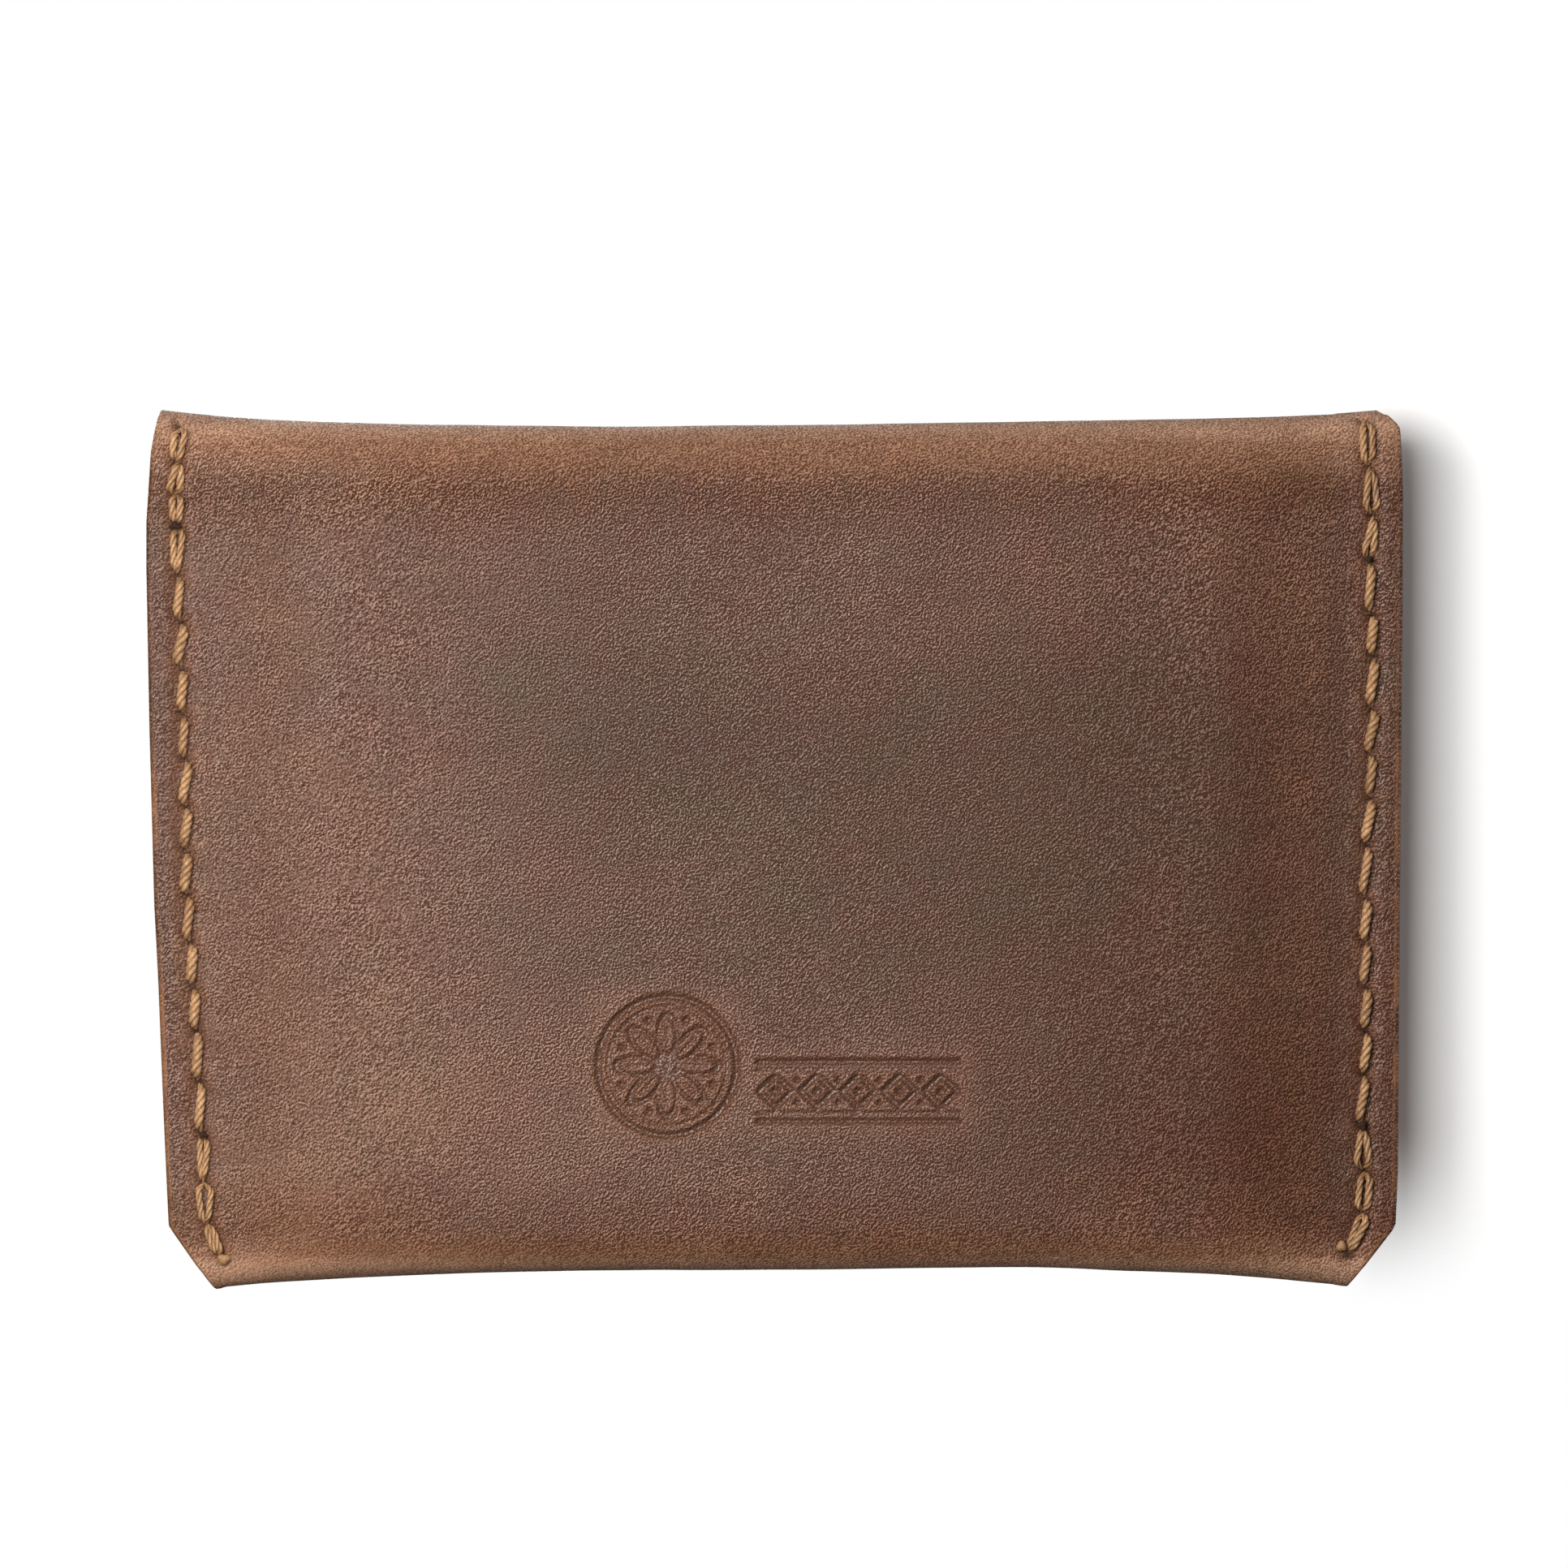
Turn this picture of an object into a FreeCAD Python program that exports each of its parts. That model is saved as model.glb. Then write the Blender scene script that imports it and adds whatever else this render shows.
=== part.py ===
import FreeCAD, Part
import math
import os

# Slim card wallet: one leather strip folded up at the bottom as the front pocket panel and over
# the top as a closing flap, stitched down both sides through an inner divider, and closed by a
# ring-spring snap.  Millimetres.
# X runs across the width, +Z up to the top fold, -Y is the plain back and +Y the flap side.
# Origin: middle of the bounding box in X and Y, lowest point in Z.

V = FreeCAD.Vector
Y_AXIS = V(0, 1, 0)

# ---------------------------------------------------------------- driving dimensions
LEATHER_T = 1.4          # shell leather
DIVIDER_T = 0.9          # divider leaf in the pockets
DIVIDER_SEAM_T = 0.86    # the same leaf, squeezed in the seams
SEAM_MIN_X = 46.0        # stations farther out than this lie in a seam

BACK_Y = -6.05           # flat middle of the back panel
RAW_BACK_Y = BACK_Y - 0.05   # laid up this far out, then planed to BACK_Y
FRONT_Y = 1.25           # outer face of the front panel's flat middle
FLAP_Y = 5.05            # outer face of the flap at the snap
SEAM_BACK_Y = -3.90      # outer faces of the pinched seams
SEAM_FRONT_Y = -0.20

FRONT_TOP = 70.2         # top edge of the front panel
DIVIDER_TOP = 67.0
DIVIDER_BOTTOM = 3.5
FLAP_END = 22.0          # lower edge of the closed flap
FLAP_TRIM = 1.0          # extra flap length, trimmed off by its outline

SCOOP_R = 30.0           # thumb scoops
FRONT_SCOOP_DEPTH = 8.0
DIVIDER_SCOOP_DEPTH = 4.0
FRONT_SCOOP_RISE = 0.15  # the front scoop's cutter stops this far above the panel

STITCH_PITCH = 3.85      # nominal pitch of the holes
HOLE_R = 0.46            # awl hole in the leather
HOLE_OVERRUN = 0.3       # awl travel beyond each seam face
THREAD_R = 0.40          # thread inside its hole
THREAD_OVERRUN = 0.25    # thread beyond each seam face
THREAD_W = 0.85          # stitch width on the surface
THREAD_H = 0.50          # stitch height
THREAD_LIFT = 0.02       # gap between stitch and leather

SNAP_Z = 31.0            # snap centre
POST_R = 1.40            # post through the front panel
CAP_POST_R = 1.75        # post through the flap
POST_CLEARANCE = 0.05    # radial, in the leather
CAP_HOLE_R = CAP_POST_R + POST_CLEARANCE

# Top fold: centre and outer radius at mid-width.
FOLD_Y, FOLD_Z, FOLD_R = -0.50, 66.50, 5.55
JOINT_GAP = 0.10         # slit along each bend line
NOTCH_HALF_ANGLE = 31.5  # V notch outside each bend line, degrees
NOTCH_TIP = 0.05         # notch tip, inwards of the bend line
CUTTER_LENGTH = 120.0
SPAN = 130.0             # width of cutting boxes that clear both sides

# Bend lines: degrees round the arc from the back, cut reach inwards, cut reach outwards.
BENDS = [(30.0, 3.6, 1.6), (90.0, 1.65, 2.4), (150.0, 3.0, 1.6)]

# Stations: X, back face Y, front panel face Y, flap face Y, lowest Z, top Z.
# The flat middle is as wide as a standard card; both sides are pinched by the seams.
STATIONS = [
    (-52.4, SEAM_BACK_Y, SEAM_FRONT_Y, 3.30, 0.00, 73.45),
    (-46.3, SEAM_BACK_Y, SEAM_FRONT_Y, 3.90, 0.00, 73.10),
    (-43.1, RAW_BACK_Y, FRONT_Y, 4.40, 0.35, 72.75),
    (-22.0, RAW_BACK_Y, FRONT_Y, FLAP_Y, 1.35, 72.20),
    (0.0, RAW_BACK_Y, FRONT_Y, FLAP_Y, 1.75, 72.05),
    (22.0, RAW_BACK_Y, FRONT_Y, FLAP_Y, 1.75, 72.40),
    (43.1, RAW_BACK_Y, FRONT_Y, 4.40, 0.75, 73.00),
    (46.3, SEAM_BACK_Y, SEAM_FRONT_Y, 3.90, 0.40, 73.25),
    (52.4, SEAM_BACK_Y, SEAM_FRONT_Y, 3.30, 0.20, 73.45),
]

# Body outline (X, Z): slightly narrower at the bottom, both bottom corners clipped.
BODY_OUTLINE = [
    (-46.8, -2.0), (48.0, -2.0), (48.0, 0.3), (51.8, 5.3), (52.0, 10.0), (52.15, 30.0),
    (52.3, 46.6), (52.4, 60.0), (52.4, 67.0), (52.2, 72.0), (51.2, 73.0), (50.6, 75.0),
    (-51.4, 75.0), (-51.5, 73.0), (-52.0, 69.6), (-52.4, 64.0), (-52.4, 60.0), (-52.1, 46.6),
    (-51.7, 32.0), (-51.4, 26.4), (-50.9, 14.0), (-50.5, 5.3), (-46.8, 0.0),
]

# Flap outline (X, Z), with clipped lower corners.
FLAP_CLIP_Z = FLAP_END + 5.1
FLAP_OUTLINE = [
    (-46.2, FLAP_END), (46.6, FLAP_END), (50.4, FLAP_CLIP_Z), (51.4, 66.0), (51.4, 80.0),
    (-51.4, 80.0), (-51.4, 66.0), (-50.0, FLAP_CLIP_Z),
]

# Seam lines (X, Z) that the holes follow, from the top down.
SEAM_LINES = {
    "left_seam_thread": [
        (-49.8, 66.9), (-49.8, 64.2), (-49.5, 59.2), (-49.05, 37.1), (-48.8, 30.4),
        (-47.6, 6.5), (-47.2, 3.6)],
    "right_seam_thread": [
        (49.9, 66.9), (50.0, 64.2), (49.8, 53.4), (49.5, 39.9), (49.3, 26.4),
        (49.3, 12.8), (49.2, 6.9), (48.4, 3.6)],
}


# ---------------------------------------------------------------- shared shapes
def closed_wire(points):
    return Part.makePolygon(points + [points[0]])


def outline_prism(outline, y_start, y_end):
    wire = closed_wire([V(x, y_start, z) for x, z in outline])
    return Part.Face(wire).extrude(V(0, y_end - y_start, 0))


def cylinder_y(radius, x, z, y_start, y_end):
    return Part.makeCylinder(radius, y_end - y_start, V(x, y_start, z), Y_AXIS)


def wide_box(y_start, y_end, z_start, z_end):
    return Part.makeBox(SPAN, y_end - y_start, z_end - z_start, V(-SPAN / 2, y_start, z_start))


def scoop_cutter(top_z, depth, y_start, y_end):
    return cylinder_y(SCOOP_R, 0, top_z - depth + SCOOP_R, y_start, y_end)


def biggest(shape):
    return max(shape.Solids, key=lambda solid: solid.Volume)


# ---------------------------------------------------------------- stitch holes
def hole_points(line):
    """Evenly spaced points along a seam line, at close to the nominal pitch."""
    corners = [V(x, 0, z) for x, z in line]
    spans = list(zip(corners, corners[1:]))
    total = sum((end - start).Length for start, end in spans)
    count = int(round(total / STITCH_PITCH))
    pitch = total / count
    points = []
    wanted = travelled = 0.0
    for start, end in spans:
        length = (end - start).Length
        while wanted <= travelled + length + 1e-6 and len(points) <= count:
            points.append(start + (end - start) * min(1.0, (wanted - travelled) / length))
            wanted += pitch
        travelled += length
    return points


def seam_cylinder(radius, point, overrun):
    return cylinder_y(radius, point.x, point.z, SEAM_BACK_Y - overrun, SEAM_FRONT_Y + overrun)


seams = {name: hole_points(line) for name, line in SEAM_LINES.items()}
stitch_holes = Part.makeCompound([seam_cylinder(HOLE_R, point, HOLE_OVERRUN)
                                  for points in seams.values() for point in points])


# ---------------------------------------------------------------- leather strip
def strip_section(x, back_y, front_y, flap_y, bottom_z, top_z):
    t = LEATHER_T
    bottom_y = (front_y + back_y) / 2.0
    fold_y = (flap_y + back_y) / 2.0
    low_z = bottom_z + (front_y - back_y) / 2.0
    high_z = top_z - (flap_y - back_y) / 2.0
    end_z = FLAP_END - FLAP_TRIM

    # Each entry is one edge through (Y, Z) points: two make a line, three an arc.
    paths = [
        [(front_y, FRONT_TOP), (front_y, low_z)],
        [(front_y, low_z), (bottom_y, bottom_z), (back_y, low_z)],
        [(back_y, low_z), (back_y, high_z)],
        [(back_y, high_z), (fold_y, top_z), (flap_y, high_z)],
        [(flap_y, high_z), (flap_y, end_z)],
        [(flap_y, end_z), (flap_y - t, end_z)],
        [(flap_y - t, end_z), (flap_y - t, high_z)],
        [(flap_y - t, high_z), (fold_y, top_z - t), (back_y + t, high_z)],
        [(back_y + t, high_z), (back_y + t, low_z)],
        [(back_y + t, low_z), (bottom_y, bottom_z + t), (front_y - t, low_z)],
        [(front_y - t, low_z), (front_y - t, FRONT_TOP)],
        [(front_y - t, FRONT_TOP), (front_y, FRONT_TOP)],
    ]
    edges = []
    for path in paths:
        curve = Part.LineSegment if len(path) == 2 else Part.Arc
        edges.append(curve(*[V(x, y, z) for y, z in path]).toShape())
    return Part.Wire(edges)


def bend_cutters(angle, inner, outer):
    """Slit and outer V notch along one bend line of the top fold."""
    turn = math.radians(angle)
    inward_y, inward_z = math.cos(turn), -math.sin(turn)
    line_y = FOLD_Y - FOLD_R * inward_y
    line_z = FOLD_Z - FOLD_R * inward_z

    def prism(profile):
        # profile: (distance inwards, distance sideways) from the bend line
        points = [V(-CUTTER_LENGTH / 2,
                    line_y + inward_y * depth - inward_z * side,
                    line_z + inward_z * depth + inward_y * side) for depth, side in profile]
        return Part.Face(closed_wire(points)).extrude(V(CUTTER_LENGTH, 0, 0))

    gap = JOINT_GAP / 2.0
    half_width = outer * math.tan(math.radians(NOTCH_HALF_ANGLE))
    return [
        prism([(-outer, -gap), (inner, -gap), (inner, gap), (-outer, gap)]),
        prism([(NOTCH_TIP, 0), (-outer, -half_width), (-outer, half_width)]),
    ]


def make_leather():
    strip = Part.makeLoft([strip_section(*station) for station in STATIONS], True, True)
    strip = strip.common(outline_prism(BODY_OUTLINE, -8, 8))

    # Plane the middle of the back flat.
    strip = strip.cut(wide_box(BACK_Y - 3, BACK_Y, -5, 85))

    # Trim the flap, touching only leather in front of the pocket panel.
    strip = strip.cut(wide_box(1.6, 8, -8, 72).cut(outline_prism(FLAP_OUTLINE, 1.5, 8.1)))

    scoop = scoop_cutter(FRONT_TOP, FRONT_SCOOP_DEPTH, -0.9, 2.4)
    strip = strip.cut(scoop.common(wide_box(-10, 10, 0, FRONT_TOP + FRONT_SCOOP_RISE)))

    # Snap holes in the front panel and in the flap.
    strip = strip.cut(cylinder_y(POST_R + POST_CLEARANCE, 0, SNAP_Z, -0.5, 1.5))
    strip = strip.cut(cylinder_y(CAP_HOLE_R, 0, SNAP_Z, 3.2, 5.6))
    strip = strip.cut(stitch_holes)

    # Cut the fold into slats, with room outside each bend line to unbend.
    for bend in BENDS:
        for cutter in bend_cutters(*bend):
            strip = strip.cut(cutter)

    body, flap, *rest = sorted(strip.Solids, key=lambda solid: -solid.Volume)
    lower, upper = sorted(rest[:2], key=lambda solid: solid.CenterOfMass.y)
    return {"leather_body": body, "flap": flap,
            "flap_fold_lower": lower, "flap_fold_upper": upper}


# ---------------------------------------------------------------- divider leaf
def divider_section(x, back_y, front_y):
    half = (DIVIDER_SEAM_T if abs(x) > SEAM_MIN_X else DIVIDER_T) / 2
    middle = (back_y + front_y) / 2.0
    return closed_wire([
        V(x, middle - half, DIVIDER_BOTTOM), V(x, middle + half, DIVIDER_BOTTOM),
        V(x, middle + half, DIVIDER_TOP), V(x, middle - half, DIVIDER_TOP)])


def make_divider():
    leaf = Part.makeLoft([divider_section(*station[:3]) for station in STATIONS], True, True)
    leaf = leaf.common(outline_prism(BODY_OUTLINE, -8, 8))
    leaf = leaf.cut(scoop_cutter(DIVIDER_TOP, DIVIDER_SCOOP_DEPTH, -5.4, 0.6))
    return biggest(leaf.cut(stitch_holes))


# ---------------------------------------------------------------- saddle-stitched threads
def stitch(start, end, y_start):
    run = end - start
    box = Part.makeBox(THREAD_W, THREAD_H, run.Length, V(-THREAD_W / 2, y_start, 0))
    box.rotate(V(0, 0, 0), Y_AXIS, math.degrees(math.atan2(run.x, run.z)))
    box.translate(V(start.x, 0, start.z))
    return box


def make_thread(points):
    rungs = [seam_cylinder(THREAD_R, point, THREAD_OVERRUN) for point in points]
    stitches = []
    for start, end in zip(points, points[1:]):
        stitches.append(stitch(start, end, SEAM_BACK_Y - THREAD_LIFT - THREAD_H))
        stitches.append(stitch(start, end, SEAM_FRONT_Y + THREAD_LIFT))
    return biggest(rungs[0].multiFuse(rungs[1:] + stitches))


# ---------------------------------------------------------------- ring-spring snap
SEAT_GAP = 0.01                          # between metal and leather
CAP_SEAT_Y = FLAP_Y + SEAT_GAP
SOCKET_SEAT_Y = FLAP_Y - LEATHER_T - SEAT_GAP
STUD_SEAT_Y = FRONT_Y + SEAT_GAP
POST_SEAT_Y = FRONT_Y - LEATHER_T - SEAT_GAP
CAP_R = 6.2
STUD_BORE_R = POST_R + 0.03

SPRING_R, SPRING_WIRE_R, SPRING_Y = 3.33, 0.28, 2.30
SPRING_GAP = 1.2                         # opening at the top of the ring

# Closed profiles (radius, Y), turned round the snap axis.
SNAP_PROFILES = {
    "snap_cap": [
        (0.0, 6.05), (1.6, 6.02), (3.2, 5.93), (4.6, 5.78), (5.6, 5.58), (6.05, 5.38),
        (CAP_R, 5.20), (CAP_R, CAP_SEAT_Y), (CAP_POST_R, CAP_SEAT_Y), (CAP_POST_R, 3.08),
        (2.45, 3.08), (2.45, 2.86), (1.35, 2.86), (1.35, 4.90), (0.0, 4.90)],
    "snap_socket": [
        (CAP_HOLE_R, SOCKET_SEAT_Y), (4.6, SOCKET_SEAT_Y), (5.0, 3.45), (5.0, 3.15),
        (4.3, 3.05), (4.3, 1.95), (4.1, 1.76), (3.2, 1.76), (3.1, 1.84), (3.2, 1.92),
        (3.66, 1.96), (3.66, 2.72), (3.3, 3.10), (CAP_HOLE_R, 3.10)],
    "snap_stud": [
        (STUD_BORE_R, STUD_SEAT_Y), (4.6, STUD_SEAT_Y), (4.8, 1.38), (4.7, 1.55),
        (2.6, 1.66), (2.12, 1.80), (2.12, 2.05), (2.4, 2.18), (2.5, 2.34), (2.35, 2.55),
        (1.9, 2.68), (0.0, 2.70), (0.0, 2.42), (STUD_BORE_R, 2.42)],
    "snap_post": [
        (0.0, -0.45), (4.7, -0.45), (5.0, -0.36), (4.8, POST_SEAT_Y), (POST_R, POST_SEAT_Y),
        (POST_R, 2.38), (0.9, 2.38), (0.9, 0.0), (0.0, 0.0)],
}


def turned(profile):
    face = Part.Face(closed_wire([V(radius, y, SNAP_Z) for radius, y in profile]))
    return face.revolve(V(0, 0, SNAP_Z), Y_AXIS, 360)


def make_spring():
    ring = Part.makeTorus(SPRING_R, SPRING_WIRE_R, V(0, SPRING_Y, SNAP_Z), Y_AXIS)
    opening = Part.makeBox(SPRING_GAP, 2, 5, V(-SPRING_GAP / 2, SPRING_Y - 1, SNAP_Z))
    return biggest(ring.cut(opening))


# ---------------------------------------------------------------- build and export
parts = make_leather()
parts["inner_divider"] = make_divider()
for name, points in seams.items():
    parts[name] = make_thread(points)
for name, profile in SNAP_PROFILES.items():
    parts[name] = turned(profile)
parts["snap_spring"] = make_spring()

os.makedirs("parts", exist_ok=True)
for name, shape in parts.items():
    shape.exportStep("parts/" + name + ".step")
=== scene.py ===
# Slim card wallet in brown pull-up leather: one strip of hide makes the pocket's front, the bottom
# bend, the back panel, the top fold and the flap.  A divider leaf, saddle stitching down both
# sides and a brass snap complete it.
# X is the width, Z is up, -Y is the plain back panel, +Y the flap and snap side.
# Lengths are millimetres until a mesh is made; stage lights and camera are in metres.
import bmesh
import bpy
import math
import numpy as np
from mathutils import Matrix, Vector


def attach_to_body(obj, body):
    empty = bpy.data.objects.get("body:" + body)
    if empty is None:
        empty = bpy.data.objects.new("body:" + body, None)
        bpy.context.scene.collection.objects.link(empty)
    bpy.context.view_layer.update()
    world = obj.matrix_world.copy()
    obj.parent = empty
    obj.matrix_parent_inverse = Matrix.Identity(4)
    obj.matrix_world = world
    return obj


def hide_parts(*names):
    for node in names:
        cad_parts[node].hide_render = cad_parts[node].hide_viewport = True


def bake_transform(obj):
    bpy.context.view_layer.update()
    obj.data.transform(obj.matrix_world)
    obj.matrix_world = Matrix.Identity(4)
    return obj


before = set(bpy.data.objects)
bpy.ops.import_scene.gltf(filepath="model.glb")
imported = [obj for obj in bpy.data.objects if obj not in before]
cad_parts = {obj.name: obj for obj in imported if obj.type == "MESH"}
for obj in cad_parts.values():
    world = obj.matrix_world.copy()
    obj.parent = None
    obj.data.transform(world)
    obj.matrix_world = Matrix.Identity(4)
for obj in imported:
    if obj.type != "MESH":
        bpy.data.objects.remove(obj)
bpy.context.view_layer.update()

M = 0.001                 # millimetres to metres
THICKNESS = 1.4           # shell leather
HALF_WIDTH = 52.4
MARGIN_X = 43.0           # beyond this |x| the columns are squeezed to meet the cut outline
FLAP_END_Z = 22.0
BACK_START_Z = 5.4        # the back panel's rows start here, above the bottom bend
SPLIT_Z = 65.2            # the top fold's pieces start and end at this height
CREST_BACK_Y, CREST_FRONT_Y = -3.28, 2.28     # the fold's middle piece lies between these
SNAP_X, SNAP_Z = 0.0, 31.0


# ------------------------------------------------------------------ small helpers
def smooth(t):
    """Smoothstep, clamped to 0..1."""
    t = np.clip(t, 0.0, 1.0)
    return t * t * (3 - 2 * t)


def curve(points, blur):
    """A soft curve through (position, value) points, sampled once and blurred."""
    places = np.array([p[0] for p in points], float)
    values = np.array([p[1] for p in points], float)
    samples = np.linspace(places[0] - 8, places[-1] + 8, 1200)
    step = samples[1] - samples[0]
    reach = int(3 * blur / step)
    weights = np.exp(-0.5 * (np.arange(-reach, reach + 1) * step / blur) ** 2)
    weights /= weights.sum()
    padded = np.pad(np.interp(samples, places, values), reach, mode="edge")
    blurred = np.convolve(padded, weights, mode="valid")
    return lambda x: np.interp(x, samples, blurred)


class Field:
    """Seeded smooth noise on a plane, about -1..1."""

    def __init__(self, seed, cell):
        self.grid = np.random.default_rng(seed).uniform(-1, 1, (96, 96))
        self.cell = cell

    def __call__(self, u, v):
        a, b = np.asarray(u) / self.cell + 40.0, np.asarray(v) / self.cell + 40.0
        i, j = np.floor(a).astype(int), np.floor(b).astype(int)
        fa, fb = smooth(a - i), smooth(b - j)
        i, j = i % 95, j % 95
        grid = self.grid
        return ((grid[i, j] * (1 - fa) + grid[i + 1, j] * fa) * (1 - fb)
                + (grid[i, j + 1] * (1 - fa) + grid[i + 1, j + 1] * fa) * fb)


def new_mesh(name, verts, faces, attrs, material):
    """A smooth-shaded object from millimetre vertices, with float or vector point attributes."""
    mesh = bpy.data.meshes.new(name)
    mesh.from_pydata((np.asarray(verts, float) * M).tolist(), [], [list(f) for f in faces])
    for key, values in attrs.items():
        values = np.asarray(values, np.float32)
        if values.ndim == 2:
            layer = mesh.attributes.new(key, "FLOAT_VECTOR", "POINT")
            layer.data.foreach_set("vector", values.ravel())
        else:
            mesh.attributes.new(key, "FLOAT", "POINT").data.foreach_set("value", values)
    mesh.polygons.foreach_set("use_smooth", [True] * len(mesh.polygons))
    mesh.materials.append(material)
    mesh.update()
    obj = bpy.data.objects.new(name, mesh)
    bpy.context.scene.collection.objects.link(obj)
    return obj


def tidy(obj, merge=False, sharp_angle=None):
    """Turns faces outwards; can first weld doubles, and mark edges over sharp_angle as hard."""
    bm = bmesh.new()
    bm.from_mesh(obj.data)
    if merge:
        bmesh.ops.remove_doubles(bm, verts=bm.verts, dist=1e-7)
    if sharp_angle is not None:
        bmesh.ops.dissolve_degenerate(bm, dist=1e-8, edges=bm.edges)
    bmesh.ops.recalc_face_normals(bm, faces=bm.faces)
    if sharp_angle is not None:
        for edge in bm.edges:
            if len(edge.link_faces) == 2 and edge.calc_face_angle(0) > sharp_angle:
                edge.smooth = False
    bm.to_mesh(obj.data)
    bm.free()
    obj.data.update()
    return obj


def attach(obj, body, stands_for):
    """Tells the frame what the piece rides on, which CAD part it replaces."""
    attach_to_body(obj, body)
    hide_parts(stands_for)


# ------------------------------------------------------------------ the wallet's shape
def pinch(x):
    """0 over the middle, 1 at the sewn sides where the panels are drawn together."""
    return smooth((np.abs(x) - 36.0) / (48.4 - 36.0))


def y_back(x):
    return -6.05 + 2.15 * pinch(x) + 0.12 * (np.asarray(x) / 40.0) ** 2 * (1 - pinch(x))


def y_front(x):
    return 1.25 - 1.45 * pinch(x)


def dipped_rim(rim_z, depth, blur):
    """A straight top edge with a round dip of 30 mm radius in its middle."""
    radius = 30.0
    return curve([(x, rim_z - max(0.0, depth - (radius - math.sqrt(max(0.0, radius ** 2 - x * x)))))
                  for x in np.linspace(-HALF_WIDTH, HALF_WIDTH, 211)], blur)


# (x, y) of the flap's grain side
y_flap = curve([(-52.4, 3.25), (-50, 3.55), (-47, 3.9), (-43, 4.3), (-34, 4.8), (-22, 5.03),
                (0, 5.07), (22, 5.03), (34, 4.8), (43, 4.3), (47, 3.9), (50, 3.55),
                (52.4, 3.25)], 1.2)
# (x, z) of the top fold's crest and of the bottom bend
z_top = curve([(-52.4, 73.62), (-51.4, 73.48), (-49.5, 73.28), (-47.6, 73.08), (-44, 72.8),
               (-37, 72.5), (-24, 72.2), (-8, 72.05), (2, 72.05), (23, 72.4), (37, 72.8),
               (47, 73.2), (50.4, 73.45), (52.4, 73.5)], 1.0)
z_bottom = curve([(-52.4, 0.0), (-46.8, 0.0), (-43, 0.35), (-37, 0.7), (-24, 1.3), (-10, 1.6),
                  (0, 1.75), (23, 1.75), (37, 1.2), (44, 0.7), (48, 0.3), (52.4, 0.2)], 1.5)
z_front_top = dipped_rim(rim_z=70.2, depth=8.0, blur=0.9)

# (z, x) of the cut outlines: the pocket's sides and the flap's sides
body_left = curve([(-3, -46.8), (0, -46.8), (5.3, -50.5), (14, -50.9), (26.4, -51.4), (32, -51.7),
                   (46.6, -52.1), (60, -52.36), (64, -52.36), (69.6, -52.0), (73.5, -51.4),
                   (76, -51.0)], 0.12)
body_right = curve([(-3, 48.0), (0.3, 48.0), (5.3, 51.8), (10, 52.0), (30, 52.15), (46.6, 52.3),
                    (60, 52.42), (67, 52.42), (72.0, 52.2), (73.0, 51.3), (73.5, 50.5),
                    (76, 50.0)], 0.12)
flap_left = curve([(15, -46.2), (22, -46.2), (27.1, -50.0), (66, -51.35), (70, -51.6),
                   (73.5, -51.4), (76, -51.0)], 0.12)
flap_right = curve([(15, 46.6), (22, 46.6), (27.1, 50.4), (66, 51.35), (70, 51.5), (72.6, 51.3),
                    (73.5, 50.5), (76, 50.0)], 0.12)


def fold_radius(x):
    return (y_flap(x) - y_back(x)) / 2


def fold_y(x):
    return (y_flap(x) + y_back(x)) / 2


def fold_z(x):
    return z_top(x) - fold_radius(x)


def bend_radius(x):
    return (y_front(x) - y_back(x)) / 2


def pocket_y(x):
    return (y_front(x) + y_back(x)) / 2


def sheet_columns():
    """Column places across the strip, finest over the ornament and the snap."""
    half = []
    for start, end, step in ((0, 16.6, 0.2), (16.6, 45.6, 0.6), (45.6, HALF_WIDTH, 0.3)):
        half.append(np.linspace(start, end, int(round((end - start) / step)) + 1)[:-1])
    half = np.concatenate(half + [[HALF_WIDTH]])
    return np.concatenate([-half[:0:-1], half])


def fit_margins(columns, x_left, x_right):
    """Squeezes the stitched margins so that the outer columns land on the cut outline."""
    x = np.array(columns, float)
    left, right = x < -MARGIN_X, x > MARGIN_X
    width = HALF_WIDTH - MARGIN_X
    x[left] = -MARGIN_X + (x[left] + MARGIN_X) * ((-MARGIN_X - x_left) / width)
    x[right] = MARGIN_X + (x[right] - MARGIN_X) * ((x_right - MARGIN_X) / width)
    return x


# Each row function returns a shape that gives Y and Z of the grain side for an array of X.
def front_row(t):
    def shape(x):
        z_low = z_bottom(x) + bend_radius(x)
        return y_front(x), z_low + t * (z_front_top(x) - z_low)
    return shape


def bottom_row(angle):
    def shape(x):
        radius = bend_radius(x)
        return (pocket_y(x) + radius * np.cos(angle),
                z_bottom(x) + radius - radius * np.sin(angle))
    return shape


def back_row(t):
    def shape(x):
        z_low = z_bottom(x) + bend_radius(x)
        return y_back(x), z_low + t * (SPLIT_Z - z_low)
    return shape


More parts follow.
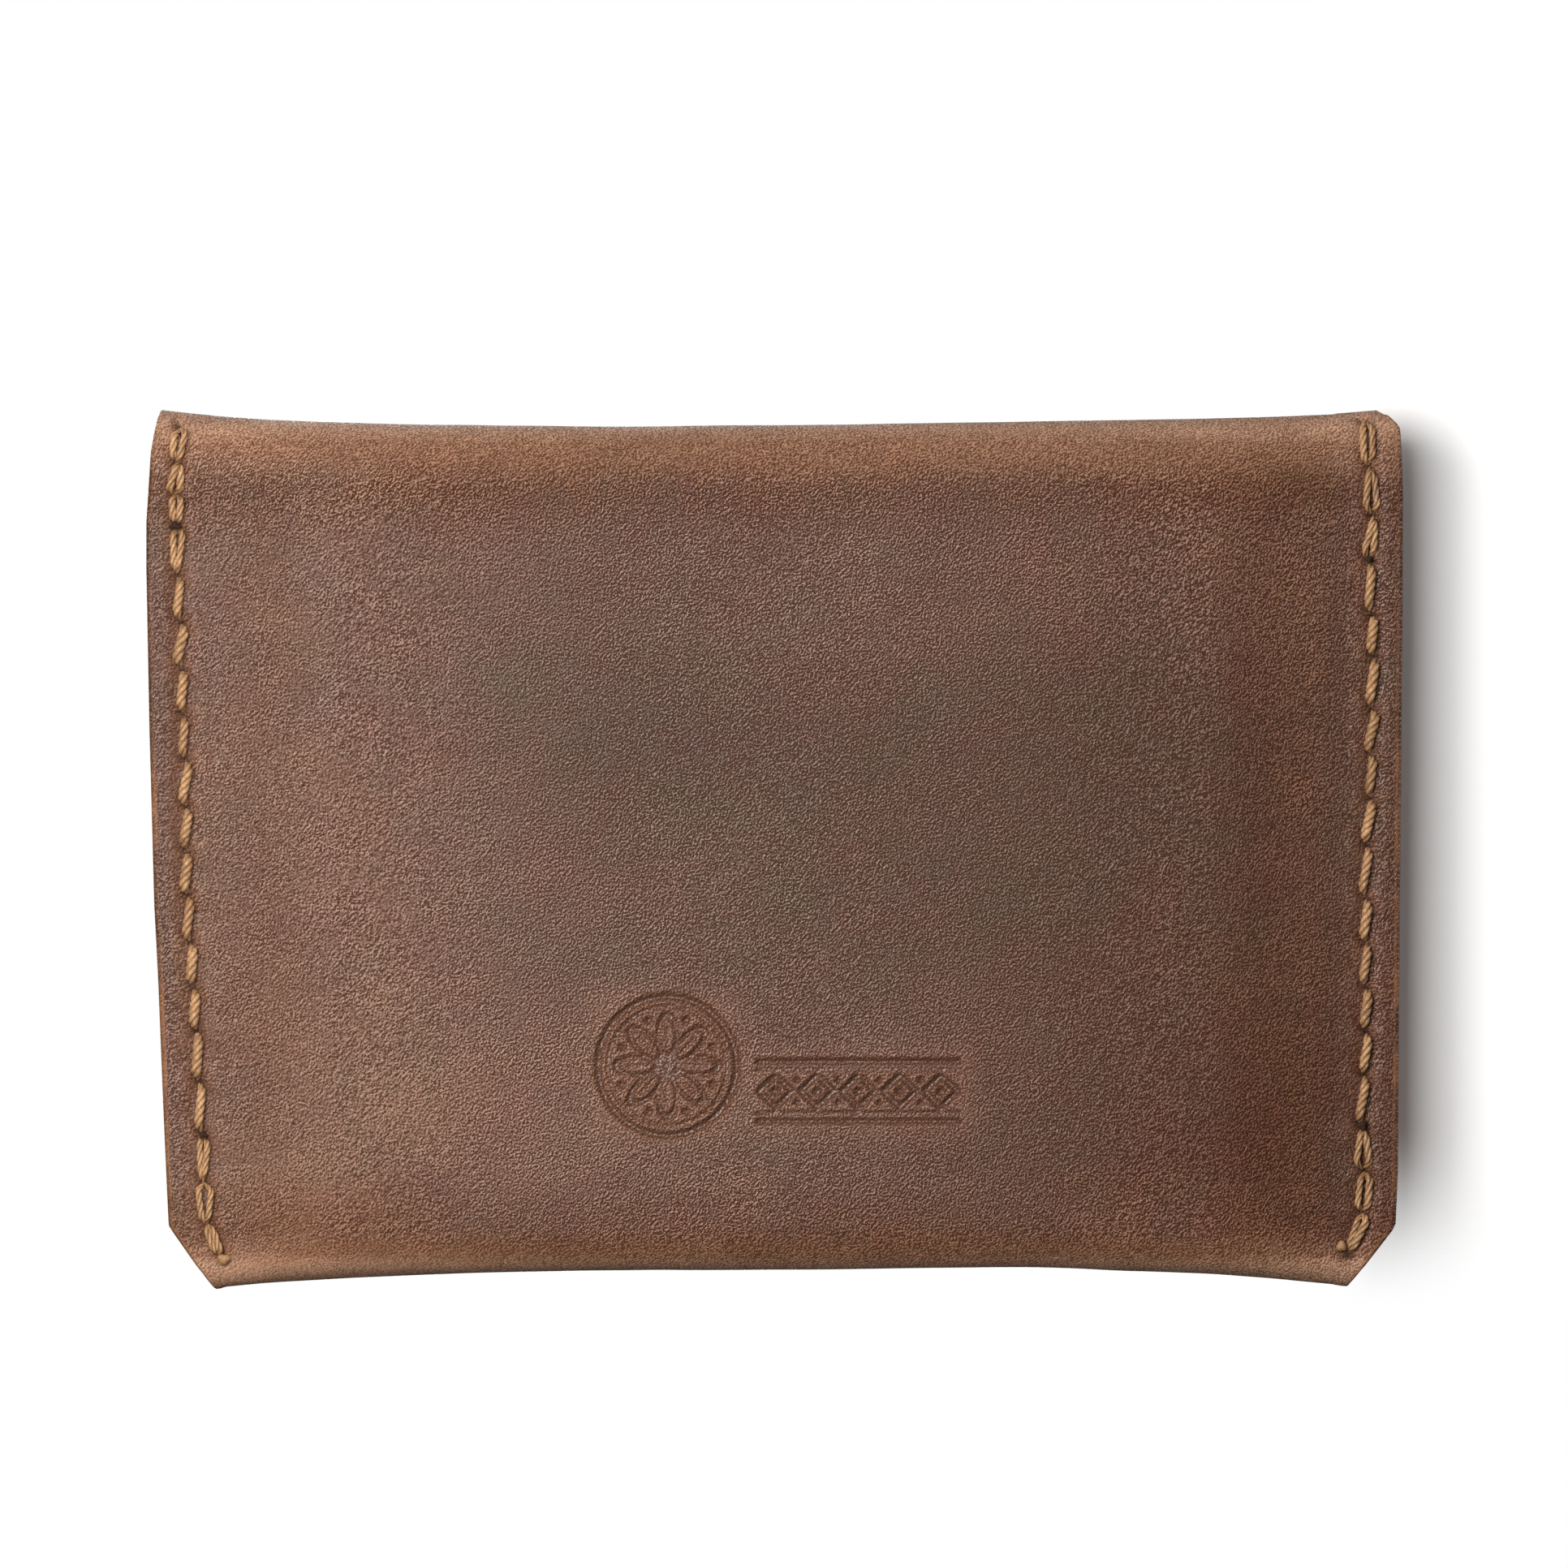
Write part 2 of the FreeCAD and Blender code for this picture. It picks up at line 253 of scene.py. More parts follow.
def fold_row(part, t):
    """Part 0 climbs the back to the crest, 1 crosses the crest, 2 comes down to the flap."""
    def shape(x):
        radius, centre_y, centre_z = fold_radius(x), fold_y(x), fold_z(x)
        back_angle = np.arccos(np.clip((centre_y - CREST_BACK_Y) / radius, -1, 1))
        front_angle = np.arccos(np.clip((centre_y - CREST_FRONT_Y) / radius, -1, 1))
        straight = centre_z - SPLIT_Z
        if part == 0:
            run = t * (straight + radius * back_angle)
            angle = np.maximum(0.0, (run - straight) / radius)
            z = np.where(run < straight, SPLIT_Z + run, centre_z + radius * np.sin(angle))
        elif part == 1:
            angle = back_angle + t * (front_angle - back_angle)
            z = centre_z + radius * np.sin(angle)
        else:
            arc = radius * (math.pi - front_angle)
            run = t * (arc + straight)
            angle = np.minimum(math.pi, front_angle + run / radius)
            z = centre_z + radius * np.sin(angle) - np.maximum(0.0, run - arc)
        return centre_y - radius * np.cos(angle), z
    return shape


def flap_row(t):
    def shape(x):
        # the leaf leans in a little below the snap and towards its side edges
        z = np.full_like(x, SPLIT_Z + t * (FLAP_END_Z - SPLIT_Z))
        lean = 0.35 * smooth((30 - z) / 10)
        side_lean = 0.25 * smooth((z - 50) / -8) * (np.abs(x) / 50) ** 2
        return y_flap(x) - lean - side_lean, z
    return shape


# ------------------------------------------------------------------ the grid of the grain side
# Rows run along the strip as (shape, zone, share of the flap's outline).
# Zones: 0 pocket front, bottom bend and back; 1, 2, 3 the parts of the top fold; 4 flap.
FOLD_STEPS = 18
rows = [(front_row(t), 0, 0.0) for t in np.linspace(1, 0, 64)[:-1]]
rows += [(bottom_row(angle), 0, 0.0) for angle in np.linspace(0, math.pi, 23)[:-1]]
back_heights = np.concatenate([np.linspace(BACK_START_Z, 11.4, 12)[:-1],
                               np.linspace(11.4, 26.2, 75)[:-1],        # finer at the ornament
                               np.linspace(26.2, SPLIT_Z, 74)])
rows += [(back_row((height - BACK_START_Z) / (SPLIT_Z - BACK_START_Z)), 0, 0.0)
         for height in back_heights]
first_fold_row = len(rows)
for part in range(3):
    rows += [(fold_row(part, t), part + 1, (0.0, t, 1.0)[part])
             for t in np.linspace(0, 1, FOLD_STEPS + 1)[1:]]
rows += [(flap_row(t), 4, 1.0) for t in np.linspace(0, 1, 68)[1:]]
# rows at which the strip is cut into pieces
cut_rows = [first_fold_row - 1 + FOLD_STEPS * k for k in range(4)]

columns = sheet_columns()
ROWS, COLS = len(rows), len(columns)
LOOP = 2 * COLS + 8       # vertices in one closed loop round the leather

sheet = np.zeros((ROWS, COLS, 3))
for i, (shape, _, flap_share) in enumerate(rows):
    z_left, z_right = shape(np.array([-51.0, 51.0]))[1]
    x = fit_margins(columns,
                    (1 - flap_share) * body_left(z_left) + flap_share * flap_left(z_left),
                    (1 - flap_share) * body_right(z_right) + flap_share * flap_right(z_right))
    y, z = shape(x)
    sheet[i] = np.stack([x, y, z], -1)


def grid_normals(points):
    normals = np.cross(np.gradient(points, axis=0), np.gradient(points, axis=1))
    return normals / np.maximum(np.linalg.norm(normals, axis=-1, keepdims=True), 1e-9)


def facing_out(normals):
    """Flips the strip's normals if needed: outward on the back panel is -Y."""
    return -normals if normals[first_fold_row - 40, COLS // 2, 1] > 0 else normals


normals = facing_out(grid_normals(sheet))
grid_x, grid_z = sheet[..., 0], sheet[..., 2]
zone = np.array([row[1] for row in rows])[:, None]
side_back = (sheet[..., 1] < pocket_y(grid_x)) & (zone <= 2)
side_front = (zone == 0) & ~side_back
side_flap = zone >= 3

# ------------------------------------------------------------------ stitch holes
# (x, z) from the top down
LEFT_HOLES = [
    (-49.55, 71.9), (-49.75, 68.9), (-49.95, 66.4), (-49.75, 63.7), (-49.75, 59.6),
    (-49.45, 55.7), (-49.45, 51.8), (-49.3, 48.0), (-49.1, 44.1), (-49.05, 40.3),
    (-49.05, 36.6), (-48.95, 32.8), (-48.7, 29.0), (-48.45, 25.2), (-48.2, 21.5),
    (-48.0, 17.4), (-47.65, 12.9), (-47.55, 8.9), (-47.3, 5.4), (-46.2, 2.9)]
RIGHT_HOLES = [
    (49.35, 72.6), (49.6, 68.7), (49.9, 64.6), (49.55, 60.9), (49.85, 56.2), (49.95, 52.9),
    (49.85, 48.4), (49.7, 44.7), (49.7, 41.0), (49.4, 37.1), (49.3, 32.7), (49.35, 28.9),
    (49.3, 25.3), (49.3, 21.5), (49.2, 17.9), (48.95, 13.7), (49.2, 9.9), (49.1, 6.4),
    (47.9, 3.0)]
HOLE_TILT = math.radians(58)
HOLE_LENGTH, HOLE_BREADTH = 0.66, 0.26        # spreads of the slanted slit
MOUND_SPREAD, GROOVE_SPREAD = 1.05, 0.55      # swelling round a hole, furrow between holes


def seam_marks():
    """Strength of holes, mounds and the seam's groove over the grid."""
    groove, hole, mound = np.zeros((3, ROWS, COLS))
    tilt_cos, tilt_sin = math.cos(HOLE_TILT), math.sin(HOLE_TILT)
    for holes, sign in ((LEFT_HOLES, -1), (RIGHT_HOLES, 1)):
        near = columns * sign > 42
        x, z = sheet[:, near, 0], sheet[:, near, 2]
        for hole_x, hole_z in holes:
            dx, dz = x - hole_x, z - hole_z
            along, across = dx * tilt_cos - dz * tilt_sin, dx * tilt_sin + dz * tilt_cos
            hole[:, near] = np.maximum(hole[:, near], np.exp(
                -(along / HOLE_LENGTH) ** 2 / 2 - (across / HOLE_BREADTH) ** 2 / 2))
            mound[:, near] = np.maximum(mound[:, near], np.exp(
                -(dx ** 2 + dz ** 2) / (2 * MOUND_SPREAD ** 2)))
        for (ax, az), (bx, bz) in zip(holes, holes[1:]):
            dx, dz = bx - ax, bz - az
            t = np.clip(((x - ax) * dx + (z - az) * dz) / (dx * dx + dz * dz), 0, 1)
            distance = np.hypot(x - ax - t * dx, z - az - t * dz)
            groove[:, near] = np.maximum(groove[:, near], np.exp(
                -distance ** 2 / (2 * GROOVE_SPREAD ** 2)))
    return groove, hole, mound


sewn = (side_back | side_front).astype(float)
groove, hole, mound = (marks * sewn for marks in seam_marks())

# ------------------------------------------------------------------ blind-stamped ornament on the back
ROSETTE_X, ROSETTE_Z = -8.9, 18.7
BAND_LEFT, BAND_RIGHT, BAND_Z = -1.6, 15.6, 16.6
LOZENGES = 5
STAMP_SOFTNESS = 0.16     # width of a stamped line's slope


def stamped_line(distance, width):
    slope = (np.abs(distance) - width / 2 + STAMP_SOFTNESS / 2) / STAMP_SOFTNESS
    return 1 - smooth(slope)


def stamped_dot(distance, radius):
    return 1 - smooth((distance - radius) / STAMP_SOFTNESS)


def rosette(x, z):
    """Eight petals and eight dots inside a double ring."""
    r = np.hypot(x - ROSETTE_X, z - ROSETTE_Z)
    angle = np.arctan2(z - ROSETTE_Z, x - ROSETTE_X)
    sector = math.pi / 4
    petal_angle = np.mod(angle + sector / 2, sector) - sector / 2
    px, pz = r * np.cos(petal_angle), r * np.sin(petal_angle)
    petal = np.hypot((px - 2.55) / 1.72, pz / 0.74)
    dot_angle = np.mod(angle, sector) - sector / 2
    dot = np.hypot(r * np.cos(dot_angle) - 4.1, r * np.sin(dot_angle))
    vein = stamped_line(pz, 0.22) * (np.abs(px - 2.35) < 1.0) * 0.7
    return np.maximum.reduce([
        stamped_line(r - 5.75, 0.55),
        stamped_line(r - 4.95, 0.28) * 0.8,
        np.where(r < 4.6, stamped_line((petal - 1) * 0.85, 0.36), 0),
        np.where(r < 4.6, vein, 0),
        stamped_dot(r, 0.42),
        stamped_dot(dot, 0.26)])


def lozenge_band(x, z):
    """A row of dotted lozenges between two double rules."""
    inside = ((x > BAND_LEFT) & (x < BAND_RIGHT)).astype(float)
    ends = smooth((x - BAND_LEFT) / 0.2) * smooth((BAND_RIGHT - x) / 0.2)
    pitch = (BAND_RIGHT - BAND_LEFT) / LOZENGES
    from_middle = np.mod(x - BAND_LEFT, pitch) - pitch / 2
    from_gap = np.mod(x - BAND_LEFT + pitch / 2, pitch) - pitch / 2
    height = z - BAND_Z
    lozenge = (np.abs(from_middle) / (pitch * 0.40) + np.abs(height) / 1.32 - 1) * 0.80
    inner = inside * (x > BAND_LEFT + 1) * (x < BAND_RIGHT - 1)
    parts = [stamped_line(z - (BAND_Z + offset), width) * ends
             for offset, width in ((2.45, 0.5), (-2.45, 0.5), (1.85, 0.22), (-1.85, 0.22))]
    return np.maximum.reduce(parts + [
        stamped_line(lozenge, 0.42) * inside,
        stamped_dot(np.hypot(from_middle, height), 0.30) * inside,
        stamped_dot(np.hypot(from_gap, np.abs(height) - 0.95), 0.16) * inner])


def box_distance(x, z, half_width, half_height):
    """Distance of the grid from a box centred at x, z."""
    return np.hypot(np.clip(np.abs(grid_x - x) - half_width, 0, None),
                    np.clip(np.abs(grid_z - z) - half_height, 0, None))


stamp = np.zeros((ROWS, COLS))
stamp_area = side_back & (np.abs(grid_x) < 18) & (grid_z > 10) & (grid_z < 28)
stamp_x, stamp_z = grid_x[stamp_area], grid_z[stamp_area]
stamp[stamp_area] = np.maximum(rosette(stamp_x, stamp_z), lozenge_band(stamp_x, stamp_z))
# the heated tool also marks the leather close round the stamp
stamp_distance = np.minimum(box_distance(ROSETTE_X, ROSETTE_Z, 5.0, 5.0),
                            box_distance((BAND_LEFT + BAND_RIGHT) / 2, BAND_Z, 8.4, 2.3))
halo = np.exp(-stamp_distance ** 2 / (2 * 1.1 ** 2)) * side_back

# ------------------------------------------------------------------ relief of the grain side
swell, ripple, crease = Field(3, 21.0), Field(5, 8.5), Field(11, 3.2)
row_steps = np.linalg.norm(np.diff(sheet[:, COLS // 2], axis=0), axis=1)
strip_run = np.cumsum(np.concatenate([[0], row_steps]))[:, None]

relief = 0.16 * swell(grid_x, strip_run) + 0.07 * ripple(grid_x + 31, strip_run)
relief += 0.018 * crease(grid_x, strip_run + 9)
relief *= 1 - 0.6 * (np.abs(grid_x) > 47)
# the press that set the snap flattened the leather round it and left a ring
snap_distance = np.hypot(grid_x - SNAP_X, grid_z - SNAP_Z)
flattened = np.where(side_back, 1.0, smooth((snap_distance - 6.0) / 5.0))
relief *= flattened
relief -= 0.13 * np.exp(-((snap_distance - 6.75) / 0.55) ** 2) * side_flap
relief -= 0.10 * np.exp(-((snap_distance - 5.25) / 0.40) ** 2) * side_front
relief += -0.46 * hole - 0.17 * groove + 0.27 * np.clip(mound - groove, 0, 1)
relief += -0.36 * stamp + 0.05 * halo
# the leather's margin outside the seam relaxes outwards again
relief += 0.12 * smooth((np.abs(columns)[None, :] - 49.6) / 1.6) * sewn
inner_relief = (0.16 * swell(grid_x, strip_run)
                + 0.05 * ripple(grid_x + 31, strip_run)) * flattened

grain_face = sheet + normals * relief[..., None]
flesh_face = sheet - normals * (THICKNESS - inner_relief)[..., None]
# the rounded rims reach the outline, so the last columns stand 0.24 mm inside it
for face in (grain_face, flesh_face):
    face[:, 0, 0] += 0.24
    face[:, -1, 0] -= 0.24
    face[:, 1, 0] += 0.10
    face[:, -2, 0] -= 0.10

# ------------------------------------------------------------------ close the sheet into leather
# (inset through the thickness, reach outwards) of a rounded cut edge
EDGE_ROUNDING = ((0.10, 0.16), (0.34, 0.24))


def rim(start, end, outward):
    """Four points that round the cut edge from one face to the other."""
    through = end - start
    through = through / np.linalg.norm(through)
    near = [start + through * inset + outward * reach for inset, reach in EDGE_ROUNDING]
    far = [end - through * inset + outward * reach for inset, reach in EDGE_ROUNDING]
    return near + far[::-1]


def closed_loop(i, squeeze=0.0, push=0.0):
    """Vertices round the sheet at row i: grain side, right rim, flesh side, left rim."""
    outer = grain_face[i] - normals[i] * squeeze + push
    inner = flesh_face[i] + normals[i] * squeeze + push
    right = np.array([1.0, 0, 0])
    return np.concatenate([outer, rim(outer[-1], inner[-1], right),
                           inner[::-1], rim(inner[0], outer[0], -right)])


def around(values, rim_value=None):
    """Grid values in the loop's vertex order, zero on the flesh side."""
    right, left = np.repeat(values[:, -1:], 4, 1), np.repeat(values[:, :1], 4, 1)
    if rim_value is not None:
        right = left = np.full((ROWS, 4), rim_value)
    return np.concatenate([values, right, np.zeros_like(values), left], 1)


def undeformed_loops():
    """The smooth sheet in loop order: the coordinates the textures use."""
    through = np.linspace(0.1, THICKNESS, 4)[None, :, None]
    return np.concatenate([
        sheet, np.repeat(sheet[:, -1:], 4, 1) + through * -normals[:, -1:],
        (sheet - normals * THICKNESS)[:, ::-1],
        np.repeat(sheet[:, :1], 4, 1) + through[:, ::-1] * -normals[:, :1]], 1)


def flesh_values():
    rim_values = np.tile([0.0, 0.5, 0.8, 1.0], (ROWS, 1))
    return np.concatenate([np.zeros((ROWS, COLS)), rim_values,
                           np.ones((ROWS, COLS)), rim_values[:, ::-1]], 1)


def edge_values():
    """Bare cut edge: the grain's edge is burnished dark, and worn bare only low down."""
    distance = np.minimum(np.abs(grid_x - grid_x[:, :1]), np.abs(grid_x[:, -1:] - grid_x))
    face = ((0.30 + 0.45 * smooth((52 - grid_z) / 12) * side_back)
            * np.exp(-((distance - 0.14 * side_back) / 0.22) ** 2))
    bare = smooth((54 - grid_z[:, -1:]) / 14)
    rims = (np.array([[0.12, 0.50, 1.0, 1.0]]) * (1 - bare)
            + np.array([[0.62, 0.80, 1.0, 1.0]]) * bare)
    return np.concatenate([face, rims, face[:, ::-1], rims[:, ::-1]], 1)


def bend_and_crest_light_values():
    """Leather lightened by bending; the very crest of both bends is lightest: wear, and painted light where
    the crests turn away from the lamps.
    """
    bends = np.maximum(smooth((grid_z - 66.3) / 5.0),
                       0.90 * smooth((BACK_START_Z - grid_z) / 3.8) * (zone == 0))
    return (bends + 0.6 * smooth((grid_z - 70.4) / 1.9) * (zone <= 3)
            + 0.6 * smooth((3.6 - grid_z) / 1.9) * (zone == 0))


# lighter and darker clouds of the back panel: x, z, x spread, z spread, amount
CLOUDS = [
    (-38, 52, 10, 14, 0.07), (-6, 61, 18, 5, -0.12), (-20, 50, 12, 8, -0.12),
    (-8, 46, 9, 5, -0.21), (8, 46, 12, 5, -0.13), (10, 36, 16, 6, -0.16),
    (34, 40, 9, 16, -0.20), (24, 47, 9, 5, -0.12), (42, 62, 6, 6, 0.12),
    (-30, 20, 14, 10, 0.14), (-42, 34, 7, 14, 0.02), (-10, 27, 12, 5, -0.11),
    (30, 14, 14, 6, -0.19), (16, 30, 10, 5, -0.10), (38, 54, 8, 5, 0.07),
    (-42, 10, 7, 7, 0.14), (44, 38, 4, 14, 0.10), (-28, 12, 9, 4, 0.07)]


def tone_and_seam_shade_values():
    tone_and_shade = sum(amount * np.exp(-(((grid_x - x) / spread_x) ** 2
                                 + ((grid_z - z) / spread_z) ** 2) / 2)
               for x, z, spread_x, spread_z, amount in CLOUDS) * side_back
    tone_and_shade = tone_and_shade - 0.11 * smooth((np.abs(grid_x) - 49.3) / 1.2) * side_back
    # painted shade: a darker line beside the right seam, on the groove's flank that faces away from the key
    # light
    seam_flank_shade = np.exp(-((grid_x - 47.3) / 1.5) ** 2)
    return tone_and_shade - 0.20 * seam_flank_shade * side_back * smooth((71 - grid_z) / 6)


def warm_shade_values():
    """Deeper, redder areas: the top, the bottom and the right of the back panel; at the bottom and on the
    right this is painted shade, for the light and sheen that fall off away from the key light.
    """
    ends = np.maximum(0.90 * smooth((grid_z - 61) / 6), 0.75 * smooth((11 - grid_z) / 7))
    right = smooth((grid_x - 6) / 34) * (0.50 + 0.50 * smooth((42 - grid_z) / 30))
    return np.where(side_back, np.maximum(ends, right), 0.55)


# the left of the back panel is polished flatter
calm = smooth((-8 - grid_x) / 28) * side_back * smooth((70 - grid_z) / 8)

LOOPS = np.stack([closed_loop(i) for i in range(ROWS)])
ATTRIBUTES = {
    "a_hole": around(hole, 0.0), "a_mound": around(mound, 0.0), "a_mark": around(stamp, 0.0),
    "a_halo": around(halo, 0.0), "a_edge": edge_values(), "a_fold": around(bend_and_crest_light_values()),
    "a_groove": around(groove, 0.0), "a_flesh": flesh_values(),
    "a_tone_and_shade": around(tone_and_seam_shade_values()), "a_warm_shade": around(warm_shade_values()), "a_calm": around(calm),
    "rest_co": undeformed_loops(),
}


def loop_normals(loops):
    """Vertex normals of the closed strip, so that its cut pieces shade as one sheet."""
    result = np.cross(np.gradient(loops, axis=0), np.roll(loops, -1, 1) - np.roll(loops, 1, 1))
    result /= np.maximum(np.linalg.norm(result, axis=-1, keepdims=True), 1e-12)
    return facing_out(result)


LOOP_NORMALS = loop_normals(LOOPS)


# ------------------------------------------------------------------ materials
def rgb(red, green, blue):
    return (red, green, blue, 1.0)


class Tree:
    """Short hand for building a material's nodes."""

    def __init__(self, name):
        self.material = bpy.data.materials.new(name)
        self.material.use_nodes = True
        self.tree = self.material.node_tree
        self.tree.nodes.clear()

    def node(self, kind, props=None, **inputs):
        """Inputs are given by name (_ for a space) or as i0, i1... by number."""
        node = self.tree.nodes.new("ShaderNode" + kind)
        for key, value in (props or {}).items():
            setattr(node, key, value)
        for key, value in inputs.items():
            numbered = key[0] == "i" and key[1:].isdigit()
            socket = node.inputs[int(key[1:]) if numbered else key.replace("_", " ")]
            if isinstance(value, bpy.types.NodeSocket):
                self.tree.links.new(value, socket)
            else:
                socket.default_value = value
        return node

    def attr(self, name, out="Fac"):
        return self.node("Attribute", {"attribute_name": name}).outputs[out]

    def math(self, operation, a, b=0.0, clamp=False):
        props = {"operation": operation, "use_clamp": clamp}
        return self.node("Math", props, i0=a, i1=b, i2=0.0).outputs[0]

    def add(self, a, b, clamp=False):
        return self.math("ADD", a, b, clamp)

    def sub(self, a, b):
        return self.math("SUBTRACT", a, b)

    def mul(self, a, b, clamp=False):
        return self.math("MULTIPLY", a, b, clamp)

    def swing(self, value, amount):
        """A 0..1 value as a deviation of the given amount about its middle."""
        return self.mul(self.sub(value, 0.5), amount)

    def mix(self, factor, a, b, blend="MIX"):
        props = {"data_type": "RGBA", "blend_type": blend}
        return self.node("Mix", props, i0=factor, i6=a, i7=b).outputs[2]

    def noise(self, vector, scale, detail=2.0, rough=0.5, distortion=0.0):
        return self.node("TexNoise", {"noise_dimensions": "3D"}, Vector=vector, Scale=scale,
                         Detail=detail, Roughness=rough, Distortion=distortion).outputs[0]

    def voronoi(self, vector, scale):
        return self.node("TexVoronoi", {"feature": "F1"}, Vector=vector, Scale=scale,
                         Randomness=1.0).outputs[0]

    def mapping(self, vector, turn=0.0, scale=(1, 1, 1), shift=(0, 0, 0)):
        """turn is in degrees about Y."""
        return self.node("Mapping", Vector=vector, Rotation=(0, math.radians(turn), 0),
                         Scale=scale, Location=shift).outputs[0]

    def ramp(self, factor, stops):
        node = self.node("ValToRGB", i0=factor)
        elements = node.color_ramp.elements
        while len(elements) < len(stops):
            elements.new(0.5)
        for element, (position, colour) in zip(elements, stops):
            element.position = position
            element.color = (*colour, 1)
        return node.outputs[0]

    def fit(self, value, over, to=(0.0, 1.0), interpolation="LINEAR"):
        """Clamped change of the range `over` into the range `to`."""
        props = {"clamp": True, "interpolation_type": interpolation}
        return self.node("MapRange", props, i0=value, i1=over[0], i2=over[1],
                         i3=to[0], i4=to[1]).outputs[0]

    def bump(self, height, strength, distance, **normal):
        return self.node("Bump", Height=height, Strength=strength, Distance=distance,
                         **normal).outputs[0]

    def finish(self, node):
        self.node("OutputMaterial", Surface=node.outputs[0])
        return self.material


def leather_material():
    tree = Tree("pull_up_leather")
    add, sub, mul, mix, fit = tree.add, tree.sub, tree.mul, tree.mix, tree.fit
    noise, mapping, swing, attr = tree.noise, tree.mapping, tree.swing, tree.attr
    rest = attr("rest_co", "Vector")
    calm, fold, flesh = attr("a_calm"), attr("a_fold"), attr("a_flesh")

    # the hide's tooth runs in short slanted furrows; worn crests lie next to furrows that keep
    # the dye, from the same noise a tenth of a millimetre apart
    slanted = mapping(mapping(rest, turn=47), scale=(0.88, 1.0, 1.06))
    coarse = noise(slanted, scale=5.3, detail=0.0, distortion=0.4)
    shifted = noise(mapping(slanted, shift=(-0.015, 0.0, -0.105)),
                    scale=5.3, detail=0.0, distortion=0.4)
    second = noise(slanted, scale=7.8, detail=0.0, distortion=0.3)
    depth = fit(noise(mapping(rest, shift=(31, 2, 7)), scale=0.30, rough=0.6),
                over=(0.32, 0.68), to=(0.72, 1.30))
    tooth = add(mul(sub(coarse, shifted), 2.2), swing(second, 1.9))
    tooth = mul(tooth, mul(depth, fit(calm, over=(0.0, 1.0), to=(1.0, 0.62))))
    tooth = add(tooth, 0.5, clamp=True)

    # dye: clouds of three sizes and the tooth move the tone along the ramp
    wide_cloud = noise(mapping(rest, shift=(13, 5, 2)),
                       scale=0.035, detail=3.0, rough=0.55, distortion=0.6)
    cloud = noise(mapping(rest, shift=(3, 9, 21)),
                  scale=0.11, detail=4.0, rough=0.6, distortion=0.8)
    small_cloud = noise(mapping(rest, turn=-20, scale=(0.5, 1, 1.3)),
                        scale=0.32, detail=4.0, rough=0.65, distortion=0.4)
    tone_and_shade = attr("a_tone_and_shade")
    for source, amount in ((wide_cloud, 0.34), (cloud, 0.34), (small_cloud, 0.24),
                           (tooth, 1.05)):
        tone_and_shade = add(tone_and_shade, swing(source, amount))
    base = tree.ramp(add(tone_and_shade, 0.38, clamp=True), [
        (0.0, (0.028, 0.0110, 0.0058)), (0.28, (0.053, 0.0222, 0.0120)),
        (0.52, (0.086, 0.0390, 0.0225)), (0.78, (0.143, 0.070, 0.043)),
        (1.0, (0.23, 0.122, 0.078))])
    # a slow drift of hue between red and olive, then the deeper, redder areas, painted shade on the right
    # and at the bottom where less light and sheen fall
    drift = fit(noise(mapping(rest, shift=(17, 8, 40)), scale=0.16, detail=3.0, rough=0.65),
                over=(0.33, 0.67))
    base = mix(0.16, base, mix(drift, rgb(0.105, 0.036, 0.028), rgb(0.082, 0.056, 0.032)))
    warm_shade = mul(attr("a_warm_shade"), fit(cloud, over=(0.3, 0.7), to=(0.75, 1.15)), clamp=True)
    base = mix(warm_shade, base, rgb(0.93, 0.775, 0.63), "MULTIPLY")

    def worn(furrow, crest):
        return mix(tooth, rgb(*furrow), rgb(*crest))

    scratch_strength = 0.0
    scratches = fit(noise(mapping(rest, turn=58, scale=(0.045, 1.0, 1.4)),
                          scale=0.8, detail=1.0, rough=0.4), over=(0.705, 0.73))
    specks = fit(tree.voronoi(mapping(rest, shift=(7, 1, 4)), scale=0.16), over=(0.028, 0.012))
    edge = mul(attr("a_edge"), fit(noise(rest, scale=0.17, detail=3.0, rough=0.7),
                                   over=(0.43, 0.60), to=(0.12, 1.0)))
    edge_fibres = noise(mapping(rest, scale=(6, 1, 0.6)), scale=2.0, detail=3.0)
    nap = noise(mapping(rest, scale=(1.0, 1.0, 0.45)),
                scale=3.2, detail=5.0, rough=0.75, distortion=0.3)
    nap_colour = tree.ramp(add(mul(nap, 0.7), mul(cloud, 0.3)), [
        (0.25, (0.115, 0.060, 0.034)), (0.5, (0.205, 0.115, 0.066)),
        (0.8, (0.33, 0.20, 0.125))])

